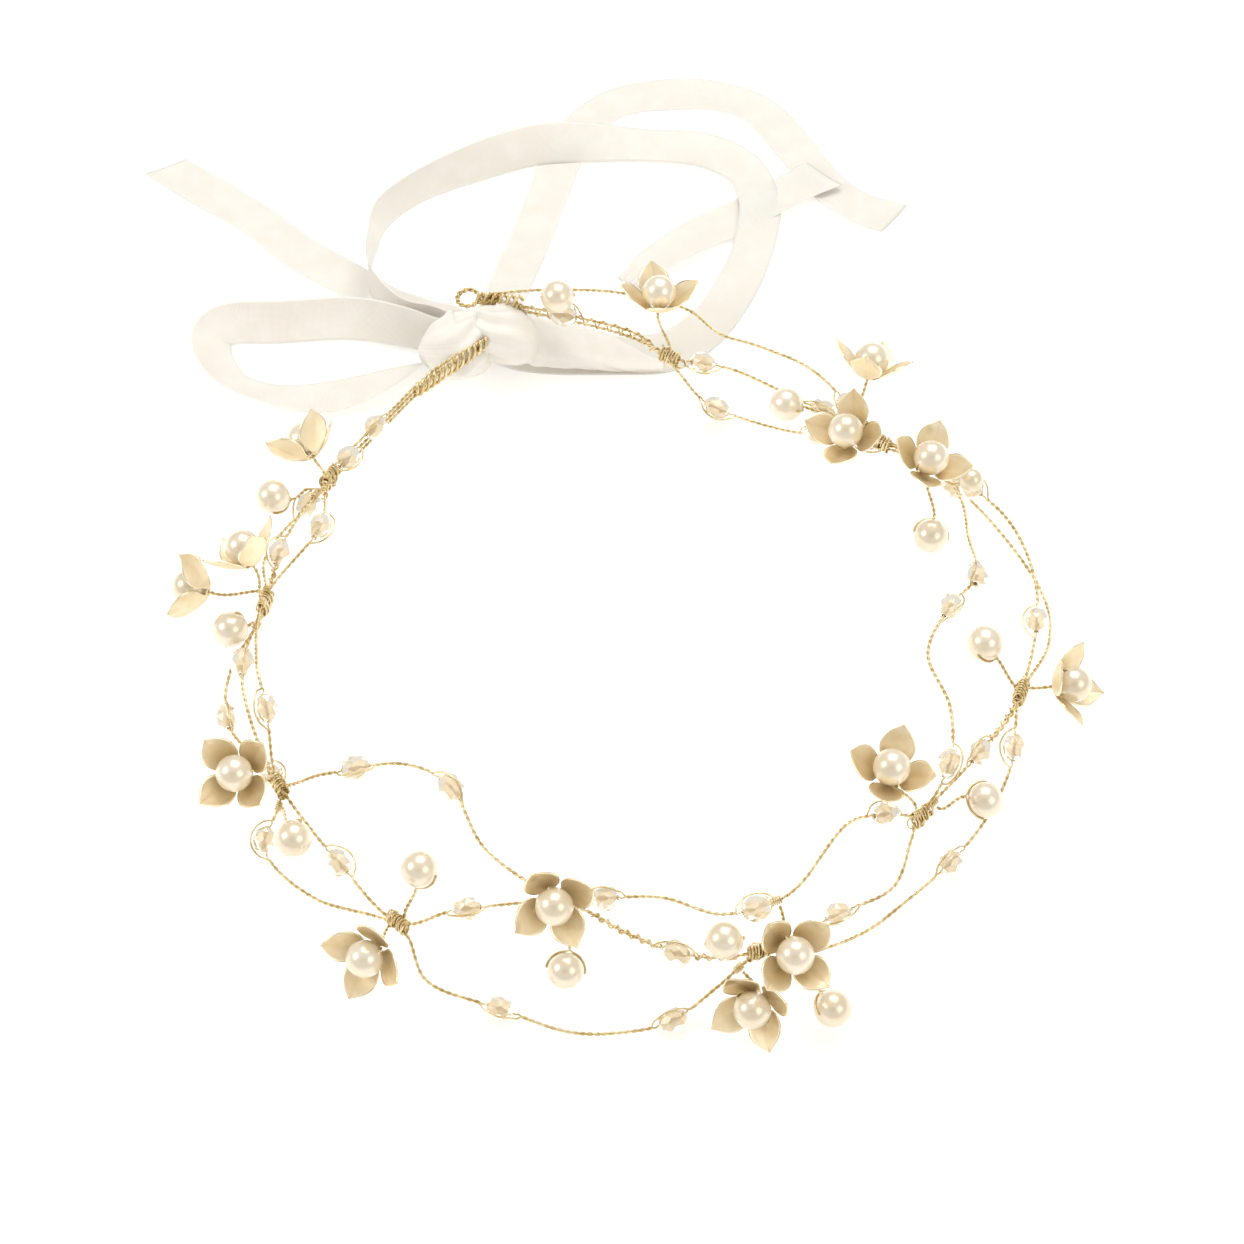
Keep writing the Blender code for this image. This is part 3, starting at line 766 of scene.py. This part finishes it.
def long_wrap(strand, first, last, pitch, down=0.0, across=0.0007, high=0.0007):
    """The strand's line, lowered a little, plus an oval that turns once in each pitch."""
    path = strands[strand]
    line = path[row_at(path, first):row_at(path, last)] - UP * down
    side, up = crossways(line)
    angle = turning(line, pitch)
    wire = line + around(side * across, up * high, angle)
    return tube(wire, BINDING_WIRE / 2, COIL_SIDES, around(side, up, angle))


add_wire("long_wraps", [long_wrap(*wrap) for wrap in LONG_WRAPS])
print(len(LONG_WRAPS), "long wraps")

# %% [markdown]
# ## Stems, pearls and petals
# A stem is one wire folded in half: the fold goes through the pearl, and both halves lie against the pearl's
# back and are then twisted down to the strand. It is wound round the strand at its root, which is where it
# bends. So a stem, its pearl and its petals ride on their own body, and the winding stays on the ring's.

# %% Flowers and sprigs
FLOWERS = {  # strand and bearing of the root, pearl's place, the way it faces, turn of its petals
    "flower_back_left": ("upper", 149, (148, 0.99, 25), (122, 15), 20),
    "flower_far_left": ("lower", 171, (173, 1.11, 17), (165, 5), 10),
    "flower_upper_left": ("upper", 175, (171, 0.97, 30), (130, 42), 0),
    "flower_left": ("middle", 206, (206, 1.045, 25), (255, 58), 55),
    "flower_front_left": ("lower", 233, (235, 1.09, 16), (241, 33), 0),
    "flower_front": ("upper", 257, (257, 0.87, 31), (270, 38), 30),
    "flower_front_right": ("upper", 290, (290, 0.99, 24), (290, 54), 30),
    "flower_front_low": ("lower", 284, (284, 1.02, 10), (250, 28), 40),
    "flower_inner_right": ("upper", 319, (318, 0.76, 35), (300, 82), 45),
    "flower_far_right": ("middle", 350, (350, 1.04, 21), (345, 32), 20),
    "flower_upper_right": ("upper", 397, (390, 0.82, 32), (338, 74), 10),
    "flower_back": ("middle", 445, (447, 0.92, 35), (79, 75), 20),
    "flower_back_right": ("middle", 410, (411, 0.92, 33), (70, 54), 0),
    "flower_inner_back": ("upper", 407, (404, 0.70, 33), (220, 67), 30),
}
SPRIGS = {  # strand and bearing of the root, and the pearl's place
    "pearl_back_left": ("middle", 152, (157, 0.99, 20)),
    "pearl_left": ("lower", 177, (180, 0.99, 18)),
    "pearl_left_low": ("lower", 209, (217, 1.00, 20)),
    "pearl_front_left": ("middle", 235, (234, 0.86, 22)),
    "pearl_front": ("middle", 259, (259, 0.91, 11)),
    "pearl_front_right": ("middle", 283, (281.5, 0.91, 24)),
    "pearl_right_low": ("lower", 291, (294, 1.06, 7)),
    "pearl_inner_right": ("middle", 323, (329, 0.93, 17)),
    "pearl_right": ("middle", 349, (353, 0.82, 26)),
    "pearl_upper_right": ("lower", 395, (385, 0.80, 11)),
    "pearl_back_right": ("middle", 415, (421, 0.76, 22)),
    "pearl_back": ("upper", 461, (462, 1.02, 25)),
}
PEARL_WIDTH = 0.0079
PETAL_THICKNESS = 0.00030
CLEARANCE = 0.00035
STRAND_WIDTH = 0.0009
STEM_WIDTH = 0.0010


def facing(bearing, elevation):
    """The direction at a bearing and so many degrees above level."""
    around, up = math.radians(bearing), math.radians(elevation)
    return np.array((math.cos(around) * math.cos(up), math.sin(around) * math.cos(up), math.sin(up)))


def stem_start(path, bearing, target):
    """Beside the strand on the side of the target: where the stem starts, and the way it sets off."""
    here, along = on_strand(path, bearing)
    towards = target - here
    towards = unit(towards - (towards @ along) * along)
    return here + towards * (STRAND_WIDTH / 2 + STEM_WIDTH / 2 + CLEARANCE), towards


# %% A stem folded through its pearl
STEM_WIRE = 0.00042
STEM_TWIST = 0.0026
STEM_STEP = 0.00025
STEM_SWEEP = 0.35
STEM_ROWS = 60
HUG_START = math.radians(12)
HUG_ROWS = 14
HOLE_DEPTH = 0.0006
HOLE_SHIFT = 0.0001


def bend_line(start, first_lean, second_lean, end):
    """A cubic Bezier curve: the four points weighted by (1-t)^3, 3t(1-t)^2, 3t^2(1-t) and t^3."""
    t = np.linspace(0, 1, STEM_ROWS)[:, None]
    left = 1 - t
    return start * left**3 + first_lean * 3 * t * left**2 + second_lean * 3 * t**2 * left + end * t**3


def stem_wires(root, towards, centre, way, straight):
    """Two helices up the stem that part at the pearl's back, follow it to its sides and enter its hole."""
    ball = PEARL_WIDTH / 2
    bend_end = centre - way * (ball + straight)
    sweep = np.linalg.norm(bend_end - root) * STEM_SWEEP
    line = bend_line(root, root + towards * sweep, bend_end - way * sweep, bend_end)
    line = evenly(np.vstack([line, centre - way * ball]), STEM_STEP)
    direction = unit(np.gradient(line, axis=0))
    across = np.cross(towards, way)
    across = across if np.linalg.norm(across) > 0.05 else np.cross(way, UP)
    plane = unit(across)
    inward = np.cross(plane, direction)
    run = np.arange(len(line)) * STEM_STEP
    surfaces = []
    for number in range(2):
        turn = ((run - run[-1]) / STEM_TWIST * math.tau + number * math.pi)[:, None]
        helix = line + TWIST_SHARE * STEM_WIRE * around(inward, plane, turn)
        angle = np.linspace(HUG_START, math.pi / 2, HUG_ROWS)[:, None]
        out = np.cross(plane, way) * (1 - 2 * number)
        hug = centre + (ball + STEM_WIRE / 2) * around(-way, out, angle)
        inside = centre + out * (ball - HOLE_DEPTH) + way * HOLE_SHIFT
        wire = evenly(np.vstack([helix[:-2], hug, inside]), STEM_STEP)
        surfaces.append(tube(wire, STEM_WIRE / 2, WIRE_SIDES, plane))
    return surfaces


print("a stem's two wires turn once in", STEM_TWIST, "m")

# %% Pearls
PEARL_ROWS = 24
PEARL_SIDES = 40
POLE = 0.004


def pearl_surface(centre, way, width):
    """Rings from pole to pole: radius = half the width times sin angle, height = minus that times cos."""
    angle = np.linspace(POLE, math.pi - POLE, PEARL_ROWS)
    path = centre - way * (width / 2 * np.cos(angle))[:, None]
    side = np.cross(way, UP) if abs(way[2]) < 0.9 else np.cross(way, np.array((1.0, 0.0, 0.0)))
    return tube(path, width / 2 * np.sin(angle), PEARL_SIDES, unit(side))


print("a pearl is", PEARL_WIDTH, "m wide")

# %% Petals
PETAL_COUNT = 4
PETAL_LENGTH = 0.0106
PETAL_WIDTH = 0.0076
PETAL_RISE = math.radians(33)
PETAL_CUP = 0.0012
PETAL_CREASE = 0.00022
PETAL_ROLL = 0.0008
PETAL_START = 0.12
DISC_WIDTH = 0.0034
PETAL_ROWS = 22
PETAL_COLUMNS = 13
PETAL_BASE = math.radians(30)
TIP_SHARE = 0.02


def petal_points(turn, curl):
    """One cupped petal from disc to tip.

    Along it s runs from 0 to 1 and across it t from -1 to 1. Half the width swells as the sine of s does, the
    petal rises more steeply towards its tip, its sides lift with t squared, a crease sinks along the middle,
    and the tip rolls over by its curl.
    """
    s = np.linspace(0, 1, PETAL_ROWS)[:, None]
    t = np.linspace(-1, 1, PETAL_COLUMNS)[None, :]
    base = DISC_WIDTH * math.sin(PETAL_BASE) / PETAL_WIDTH
    half = np.maximum(np.sin(math.pi * (PETAL_START + (1 - PETAL_START) * s)), TIP_SHARE)
    half = base + (half - base) * smooth_step(s / 0.2)
    rise = PETAL_RISE * (0.8 + 0.5 * s)
    crease = PETAL_CREASE * np.exp(-((t / 0.12) ** 2)) * smooth_step(s / 0.5)
    cup = PETAL_CUP * half**2 * t**2 * smooth_step(s / 0.15) - crease
    tip_roll = curl * smooth_step((s - 0.75) / 0.25) * PETAL_ROLL
    x = DISC_WIDTH / 2 * math.cos(PETAL_BASE) + PETAL_LENGTH * s * np.cos(rise) + 0 * t
    y = PETAL_WIDTH / 2 * half * t
    z = PETAL_LENGTH * s * np.sin(rise) + cup - tip_roll
    c, s_turn = math.cos(turn), math.sin(turn)
    return np.stack([x * c - y * s_turn, x * s_turn + y * c, z], -1), s, t


def flower_sheet(chance):
    """Four petals on a small holed disc, which joins the petals' base points to the hole's edge."""
    surfaces, across, along, base = [], [], [], []
    for number in range(PETAL_COUNT):
        turn = math.tau * number / PETAL_COUNT + chance.uniform(-0.04, 0.04)
        points, s, t = petal_points(turn, chance.uniform(-0.2, 1.0))
        surfaces.append((points.reshape(-1, 3), [grid_faces(PETAL_ROWS, PETAL_COLUMNS)[:, ::-1]]))
        across.append(np.broadcast_to(t, points.shape[:2]).ravel())
        along.append(np.broadcast_to(s, points.shape[:2]).ravel())
        base.append(points[0])
    outer = np.concatenate(base)
    inner = unit(outer * (1, 1, 0)) * (STEM_WIDTH / 2 + CLEARANCE)
    count = len(outer)
    surfaces.append((np.concatenate([inner, outer]), [grid_faces(2, count, round_columns=True)]))
    across.append(np.zeros(2 * count))
    along.append(np.zeros(2 * count))
    return surfaces, {"across": np.concatenate(across), "along": np.concatenate(along)}


print("a petal is", PETAL_LENGTH, "m long and", PETAL_WIDTH, "m wide")

# %% Put the flowers and sprigs on their stems
STEM_STRAIGHT = 0.0020
ROOT_TURNS = 4.5
ROOT_PITCH = 1.1
ROOT_GAP = 0.00005


def root_coil(path, bearing):
    """The stem's tail wound round its strand, as a round coil whose turns nearly touch."""
    here, along = on_strand(path, bearing)
    half = along * STEM_WIRE * ROOT_TURNS / 2 * ROOT_PITCH
    wide = STRAND_WIDTH / 2 + STEM_WIRE / 2 + ROOT_GAP
    return coil(here - half, here + half, wide, wide, ROOT_TURNS, STEM_WIRE)


def add_stem_and_pearl(name, strand, bearing, place, way, straight, target, node):
    """The pearl and its wire on their own body. What it returns is the coil at the root."""
    path = strands[strand]
    centre = ring_point(*place)
    root, towards = stem_start(path, bearing, target)
    if way is None:
        way = unit(unit(centre - root) * 2 + towards)
    add_piece(f"{name}_ball", [pearl_surface(centre, way, PEARL_WIDTH)], pearl_finish, name, [node])
    add_wire(f"{name}_stem", stem_wires(root, towards, centre, way, straight), name)
    return root_coil(path, bearing)


petal_chance = np.random.default_rng(5)
roots = []
for name, (strand, bearing, place, look, roll) in FLOWERS.items():
    way = facing(*look)
    seat = ring_point(*place) - way * (PEARL_WIDTH / 2 + PETAL_THICKNESS / 2 + CLEARANCE)
    roots.append(add_stem_and_pearl(name, strand, bearing, place, way, STEM_STRAIGHT, seat, f"{name}_pearl"))
    sheet, marks = flower_sheet(petal_chance)
    axes = np.array(Vector(way).to_track_quat("Z", "Y").to_matrix())
    c, s = math.cos(math.radians(roll)), math.sin(math.radians(roll))
    turned = axes @ np.array(((c, -s, 0), (s, c, 0), (0, 0, 1)))
    sheet = [(seat + points @ turned.T, faces) for points, faces in sheet]
    node = f"{name}_petals"
    petals = add_piece(f"{name}_stamping", sheet, petal_finish, name, [node], marks=marks)
    thicken(petals, PETAL_THICKNESS)
for name, (strand, bearing, place) in SPRIGS.items():
    target = ring_point(*place)
    roots.append(add_stem_and_pearl(name, strand, bearing, place, None, CLEARANCE, target, name))
add_wire("stem_roots", roots)
print(len(FLOWERS), "flowers and", len(SPRIGS), "sprigs")

# %% A small pearl beside the upper strand
SEED_PLACE = (387.5, 0.925, 21.5)
SEED_WIDTH = 0.0056
SEED_BEARING = 389
SEED_ROWS = 24

seed_centre = ring_point(*SEED_PLACE)
seed_root, _ = on_strand(strands["upper"], SEED_BEARING)
seed_way = unit(seed_centre - seed_root)
seed_line = np.linspace(0, 1, SEED_ROWS)[:, None] * (seed_centre - seed_root) + seed_root
seed_surface = pearl_surface(seed_centre, seed_way, SEED_WIDTH)
add_piece("seed_pearl", [seed_surface], pearl_finish, RING_BODY)
add_wire("seed_wire", [tube(seed_line, WIRE_WIDTH / 2, WIRE_SIDES, UP)])
print("seed pearl", np.round(seed_centre, 4).tolist())

# %% [markdown]
# ## Wire ends
# At the back the strands end one above the other. Two wires are wound round them into a short rope, and the
# last of it is turned into an eye that the ribbon goes through.

# %% Eyes and end wraps
EYE_WIDTH = 0.0052
EYE_STRAND = 0.00032
EYE_GAP = 22
EYE_ROWS = 44
LEG_LENGTH = 0.004
LEG_APART = 0.0004
ROPE_WIRE = 0.00085
ROPE_ACROSS = 0.0009
ROPE_HIGH = 0.0019
ROPE_BEYOND = 0.0012
END_SHAPES = {  # whether it is at the strands' last points, the rope's length and its turns
    "left": (False, 0.022, 6.5),
    "right": (True, 0.010, 3),
}


def end_pieces(at_end, length, turns):
    """A rope of wire over the ends, and an eye: a circle in the plane of the strands and their level side.

    The eye's two wires twist round each other like a strand, and both its legs run back under the wrap.
    """
    step = -1 if at_end else 1
    ends = np.mean([path[::step][0] for path in strands.values()], axis=0)
    inner = np.mean([path[::step][round(length / WIRE_STEP)] for path in strands.values()], axis=0)
    along = unit(ends - inner)
    side, up = square_to(along)
    middle = ends + along * (EYE_WIDTH / 2 + STRAND_WIDTH)
    angle = np.radians(np.linspace(EYE_GAP, 360 - EYE_GAP, EYE_ROWS))[:, None]
    circle = middle + around(-along, side, angle) * EYE_WIDTH / 2
    legs = [ends - along * LEG_LENGTH + side * LEG_APART * way for way in (1, -1)]
    line = evenly(np.vstack([legs[0], circle, legs[1]]), WIRE_STEP)
    outward = unit(np.cross(np.gradient(line, axis=0), up))
    apart = EYE_STRAND * around(outward, up, turning(line, TWIST_LENGTH))
    eye = [tube(line + way * apart, EYE_STRAND, WIRE_SIDES, up) for way in (1, -1)]
    outer = ends + along * ROPE_BEYOND
    rope = [coil(inner, outer, ROPE_ACROSS, ROPE_HIGH, turns, ROPE_WIRE, phase) for phase in (0, math.pi)]
    return eye, rope


for label, shape in END_SHAPES.items():
    eye, rope = end_pieces(*shape)
    add_wire(f"eye_{label}_wires", eye, replaces=[f"end_eye_{label}"])
    add_wire(f"end_wrap_{label}", rope)
print("wire ends made")

# %% [markdown]
# ## The bow
# One length of organza ribbon goes through both eyes and is tied in a bow. Cloth could be dropped and left to
# fall, but a tied bow keeps the shape that hands gave it, so its runs are strips on smooth lines over the
# table. Each has a lean, from flat to standing on edge, and is pleated where the knot grips it.

# %% Ribbon runs
KNOT_SPOT = (113.5, 1.115)
RIBBON_THICKNESS = 0.00012
RIBBONS = {  # millimetres from the knot and, where it isn't flat, its lean in degrees and lower edge's lift
    "ribbon_tail_left": [
        (-1, 2, 60, 3.0), (-7, 7, 30, 1.5), (-14, 13), (-22, 17), (-31, 24), (-44, 33), (-56, 44),
        (-68, 53), (-80, 62),
    ],
    "ribbon_loop_left": [
        (0, 1, 80, 2.5), (-8, 2, 70, 1), (-17, 5, 60, 1), (-30, 8, 45, 1), (-47, 8, 36, 0.2),
        (-58, 8, 33, 0), (-63, 5, 30, 0), (-63, -1, 30, 0), (-59, -8, 30, 0), (-53, -12, 28, 0),
        (-44, -14, 20, 0), (-36, -14, 12, 0), (-27, -12, 15, 0), (-17, -8, 30, 0), (-8, -4, 60, 0),
        (0, 0, 80, 2.5),
    ],
    "ribbon_tail_right": [
        (-1, 1, 60, 3.0), (3, 6, 25, 1.5), (6, 13), (9, 23), (14, 39), (18, 53), (22, 67), (28, 78),
        (37, 85), (50, 87), (63, 86), (73, 80), (81, 68), (88, 56), (96, 48), (105, 44),
    ],
    "ribbon_loop_right": [
        (0, 2, 90, 2.0), (-8, 7, 90, 1), (-16, 9, 90, 1), (-22, 14, 90, 1), (-26, 22, 91, 1),
        (-25, 32, 94, 1), (-23, 40, 97, 1), (-17, 47, 102, 1), (-9, 53, 109, 1), (3, 60, 122, 1),
        (16, 66, 142, 1), (29, 68, 160, 1), (44, 68, 172, 1.2), (57, 66, 175, 1.8), (67, 60, 178, 1.8),
        (71, 50, 180, 1.8), (70.5, 40, 180, 1.8), (67.5, 28, 180, 1.8), (63, 17, 195, 1),
        (57, 7, 205, 0.5), (48, 0, 205, 0), (36, -1, 198, 0), (22, -1, 196, 0), (12, 0, 205, 0),
        (6, 0, 235, 0), (1, 1, 265, 1.5),
    ],
    "ribbon_end_right": [
        (38, 21, 15, 0.8), (44, 28, 10, 0.8), (53, 36, 5, 0.8), (62, 42, 0, 0.8), (70, 47, 0, 0.8),
        (79, 53, 0, 1.2), (88, 58, 0, 1.3),
    ],
}
RIBBON_ROW = 0.0010
RIBBON_COLUMNS = 15
PINCH_REACH = 0.006
PLEAT_DEPTH = 0.0011
PLEAT_TURNS = 3.5
CUP_DEPTH = 0.0004
CUT_REACH = 0.012
knot = ring_point(*KNOT_SPOT, 0)


def ribbon_surface(run, ripple, start_pinch, end_pinch, slant):
    """A strip along the run.

    At each row the width's direction is across cos lean + up sin lean, and a point is the middle plus that
    direction times u, with u from -1 to 1. The normal carries a slow ripple and, where the strip is pinched,
    pleats: a sine of u that grows as the width shrinks. Near the cut end u also moves a point along.
    """
    full = [(*stop, 0, 0)[:4] for stop in run]
    stops = [(knot[0] + x * MM, knot[1] + y * MM, math.radians(lean), lift * MM) for x, y, lean, lift in full]
    rows = curve_through(stops, RIBBON_ROW, measured=2)
    plan, lean, lift = rows[:, :2], rows[:, 2:3], np.maximum(rows[:, 3], 0)
    direction = unit(np.gradient(plan, axis=0))
    along = np.column_stack([direction, np.zeros(len(rows))])
    across = np.cross(along, UP)
    wide = around(across, UP, lean)
    normal = np.cross(wide, along)
    middle = np.column_stack([plan, np.abs(wide[:, 2]) * RIBBON_WIDTH / 2 + RIBBON_THICKNESS + lift])
    run_on = np.arange(len(rows)) * RIBBON_ROW
    left = run_on[-1] - run_on
    pinch = start_pinch * np.exp(-((run_on / PINCH_REACH) ** 2))
    pinch = pinch + end_pinch * np.exp(-((left / PINCH_REACH) ** 2))
    u = np.linspace(-1, 1, RIBBON_COLUMNS)[None, :]
    half = RIBBON_WIDTH / 2 * (1 - pinch)[:, None] * u
    pleats = PLEAT_DEPTH * pinch[:, None] * np.sin(PLEAT_TURNS * math.pi * u)
    wave = ripple * (np.sin(run_on / 0.0062)[:, None] * u + 0.6 * np.sin(run_on / 0.0091 + 1)[:, None])
    out = pleats + wave + CUP_DEPTH * u**2
    points = middle[:, None] + wide[:, None] * half[..., None] + normal[:, None] * out[..., None]
    end_share = np.clip(1 - left / CUT_REACH, 0, 1)[:, None]
    points = points + along[:, None] * (slant * MM * u * end_share)[..., None]
    points[..., 2] = np.maximum(points[..., 2], RIBBON_THICKNESS)
    marks = {
        "across": np.broadcast_to(u, points.shape[:2]),
        "along": np.broadcast_to(run_on[:, None], points.shape[:2]),
    }
    return (points.reshape(-1, 3), [grid_faces(len(rows), RIBBON_COLUMNS)]), marks, run_on[-1]


print("the knot is at", np.round(knot, 4).tolist())

# %% Knot
KNOT_LINE = [  # from left to right, in millimetres: the middle's place, half width and half height
    (-52.5, 91.0, 5.0, 1.0, 0.8), (-50.0, 89.6, 6.4, 5.0, 4.2), (-46.0, 88.6, 8.2, 8.2, 7.2),
    (-42.0, 89.0, 9.0, 8.5, 7.8), (-39.0, 90.3, 10.0, 6.2, 7.2), (-37.1, 91.3, 10.7, 4.4, 6.2),
    (-35.0, 90.2, 11.2, 6.6, 6.6), (-31.5, 90.6, 10.6, 8.4, 6.6), (-26.5, 92.0, 7.2, 7.6, 4.6),
    (-20.0, 92.0, 5.0, 7.0, 3.3), (-13.0, 91.6, 3.4, 6.2, 2.0), (-6.0, 91.2, 2.2, 5.4, 1.0),
    (0.0, 91.0, 1.6, 4.9, 0.5), (6.0, 91.0, 1.3, 4.6, 0.25),
]
KNOT_PINCH = -37.1 * MM
KNOT_STEP = 0.0005
KNOT_SIDES = 110
KNOT_PLEATS = 9
PLEAT_SHARES = (0.020, 0.075)
CRUMPLE_SHARE = 0.045


def knot_surface():
    """A gathered tube: middle + side times half width times cos angle + up times half height times sin angle.

    Both halves are multiplied by pleats, 1 + depth cos(count angle + 2 sin run), which are deepest at the
    pinch, and by crumples, which come and go both along the run and round it.
    """
    rows = curve_through(np.array(KNOT_LINE) * MM, KNOT_STEP)
    path, half_width, half_height = rows[:, :3], rows[:, 3:4], rows[:, 4:5]
    side, up = crossways(path)
    run = (np.arange(len(path)) * KNOT_STEP)[:, None]
    angle = np.arange(KNOT_SIDES)[None, :] * math.tau / KNOT_SIDES
    depth = PLEAT_SHARES[0] + PLEAT_SHARES[1] * np.exp(-(((path[:, :1] - KNOT_PINCH) / 0.005) ** 2))
    pleats = depth * np.cos(KNOT_PLEATS * angle + 2 * np.sin(run / 0.004))
    crumples = np.sin(run / 0.0017 + 2.5 * np.sin(2 * angle)) * np.cos(3 * angle + run / 0.003)
    radius = 1 + pleats + CRUMPLE_SHARE * crumples
    wide = side[:, None] * (half_width * radius * np.cos(angle))[..., None]
    high = up[:, None] * (half_height * radius * np.sin(angle))[..., None]
    points = path[:, None] + wide + high
    points[..., 2] = np.maximum(points[..., 2], RIBBON_THICKNESS)
    marks = {"across": 0.8 * np.sin(2 * angle) + 0 * run, "along": run + 0 * angle}
    return (points.reshape(-1, 3), closed_tube_faces(len(path), KNOT_SIDES)), marks


surface, marks = knot_surface()
bow_knot = add_piece("bow_knot", [surface], knot_finish, RING_BODY, ["ribbon_knot"], marks=marks)
print("knot tied")

RUN_SHAPES = {  # ripple in metres, pinch at the start and at the end, slant of the cut end in millimetres
    "ribbon_tail_left": (0.00030, 0.15, 0.0, -2.5),
    "ribbon_loop_left": (0.00035, 0.25, 0.20, 0.0),
    "ribbon_tail_right": (0.00030, 0.25, 0.0, -1.6),
    "ribbon_loop_right": (0.00040, 0.40, 0.30, 0.0),
    "ribbon_end_right": (0.00025, 0.3, 0.0, 2.0),
}
for name, shape in RUN_SHAPES.items():
    surface, marks, length = ribbon_surface(RIBBONS[name], *shape)
    piece = name.replace("ribbon", "organza")
    strip = add_piece(piece, [surface], ribbon_finish, RING_BODY, [name], marks=marks)
    thicken(strip, RIBBON_THICKNESS)
    print(name, round(length, 3), "m")

# %% [markdown]
# ## Table
# A wide pale sheet under the crown catches its soft shadows. It isn't part of the object.

# %% Table top
TABLE_GLOW = (1.0, 0.995, 0.985, 1)
TABLE_SHADE = (0.93, 0.925, 0.915, 1)
TABLE_LIGHT = (0.95, 0.945, 0.935, 1)
TABLE_HALF = 8.0
TABLE_BELOW = 0.0002

table_finish = Finish("pale_table", Roughness=0.9, Emission_Strength=0.30)
table_finish.feed("Emission Color", TABLE_GLOW)
table_finish.feed("Base Color", table_finish.mix(table_finish.clouds(0.4), TABLE_SHADE, TABLE_LIGHT))
corners = np.array([(-1, -1, 0), (1, -1, 0), (1, 1, 0), (-1, 1, 0)]) * TABLE_HALF - UP * TABLE_BELOW
table_mesh = bpy.data.meshes.new("table")
table_mesh.from_pydata(corners.tolist(), [], [(0, 1, 2, 3)])
table_mesh.materials.append(table_finish.material)
table_top = bpy.data.objects.new("table", table_mesh)
bpy.context.scene.collection.objects.link(table_top)
print("table laid")
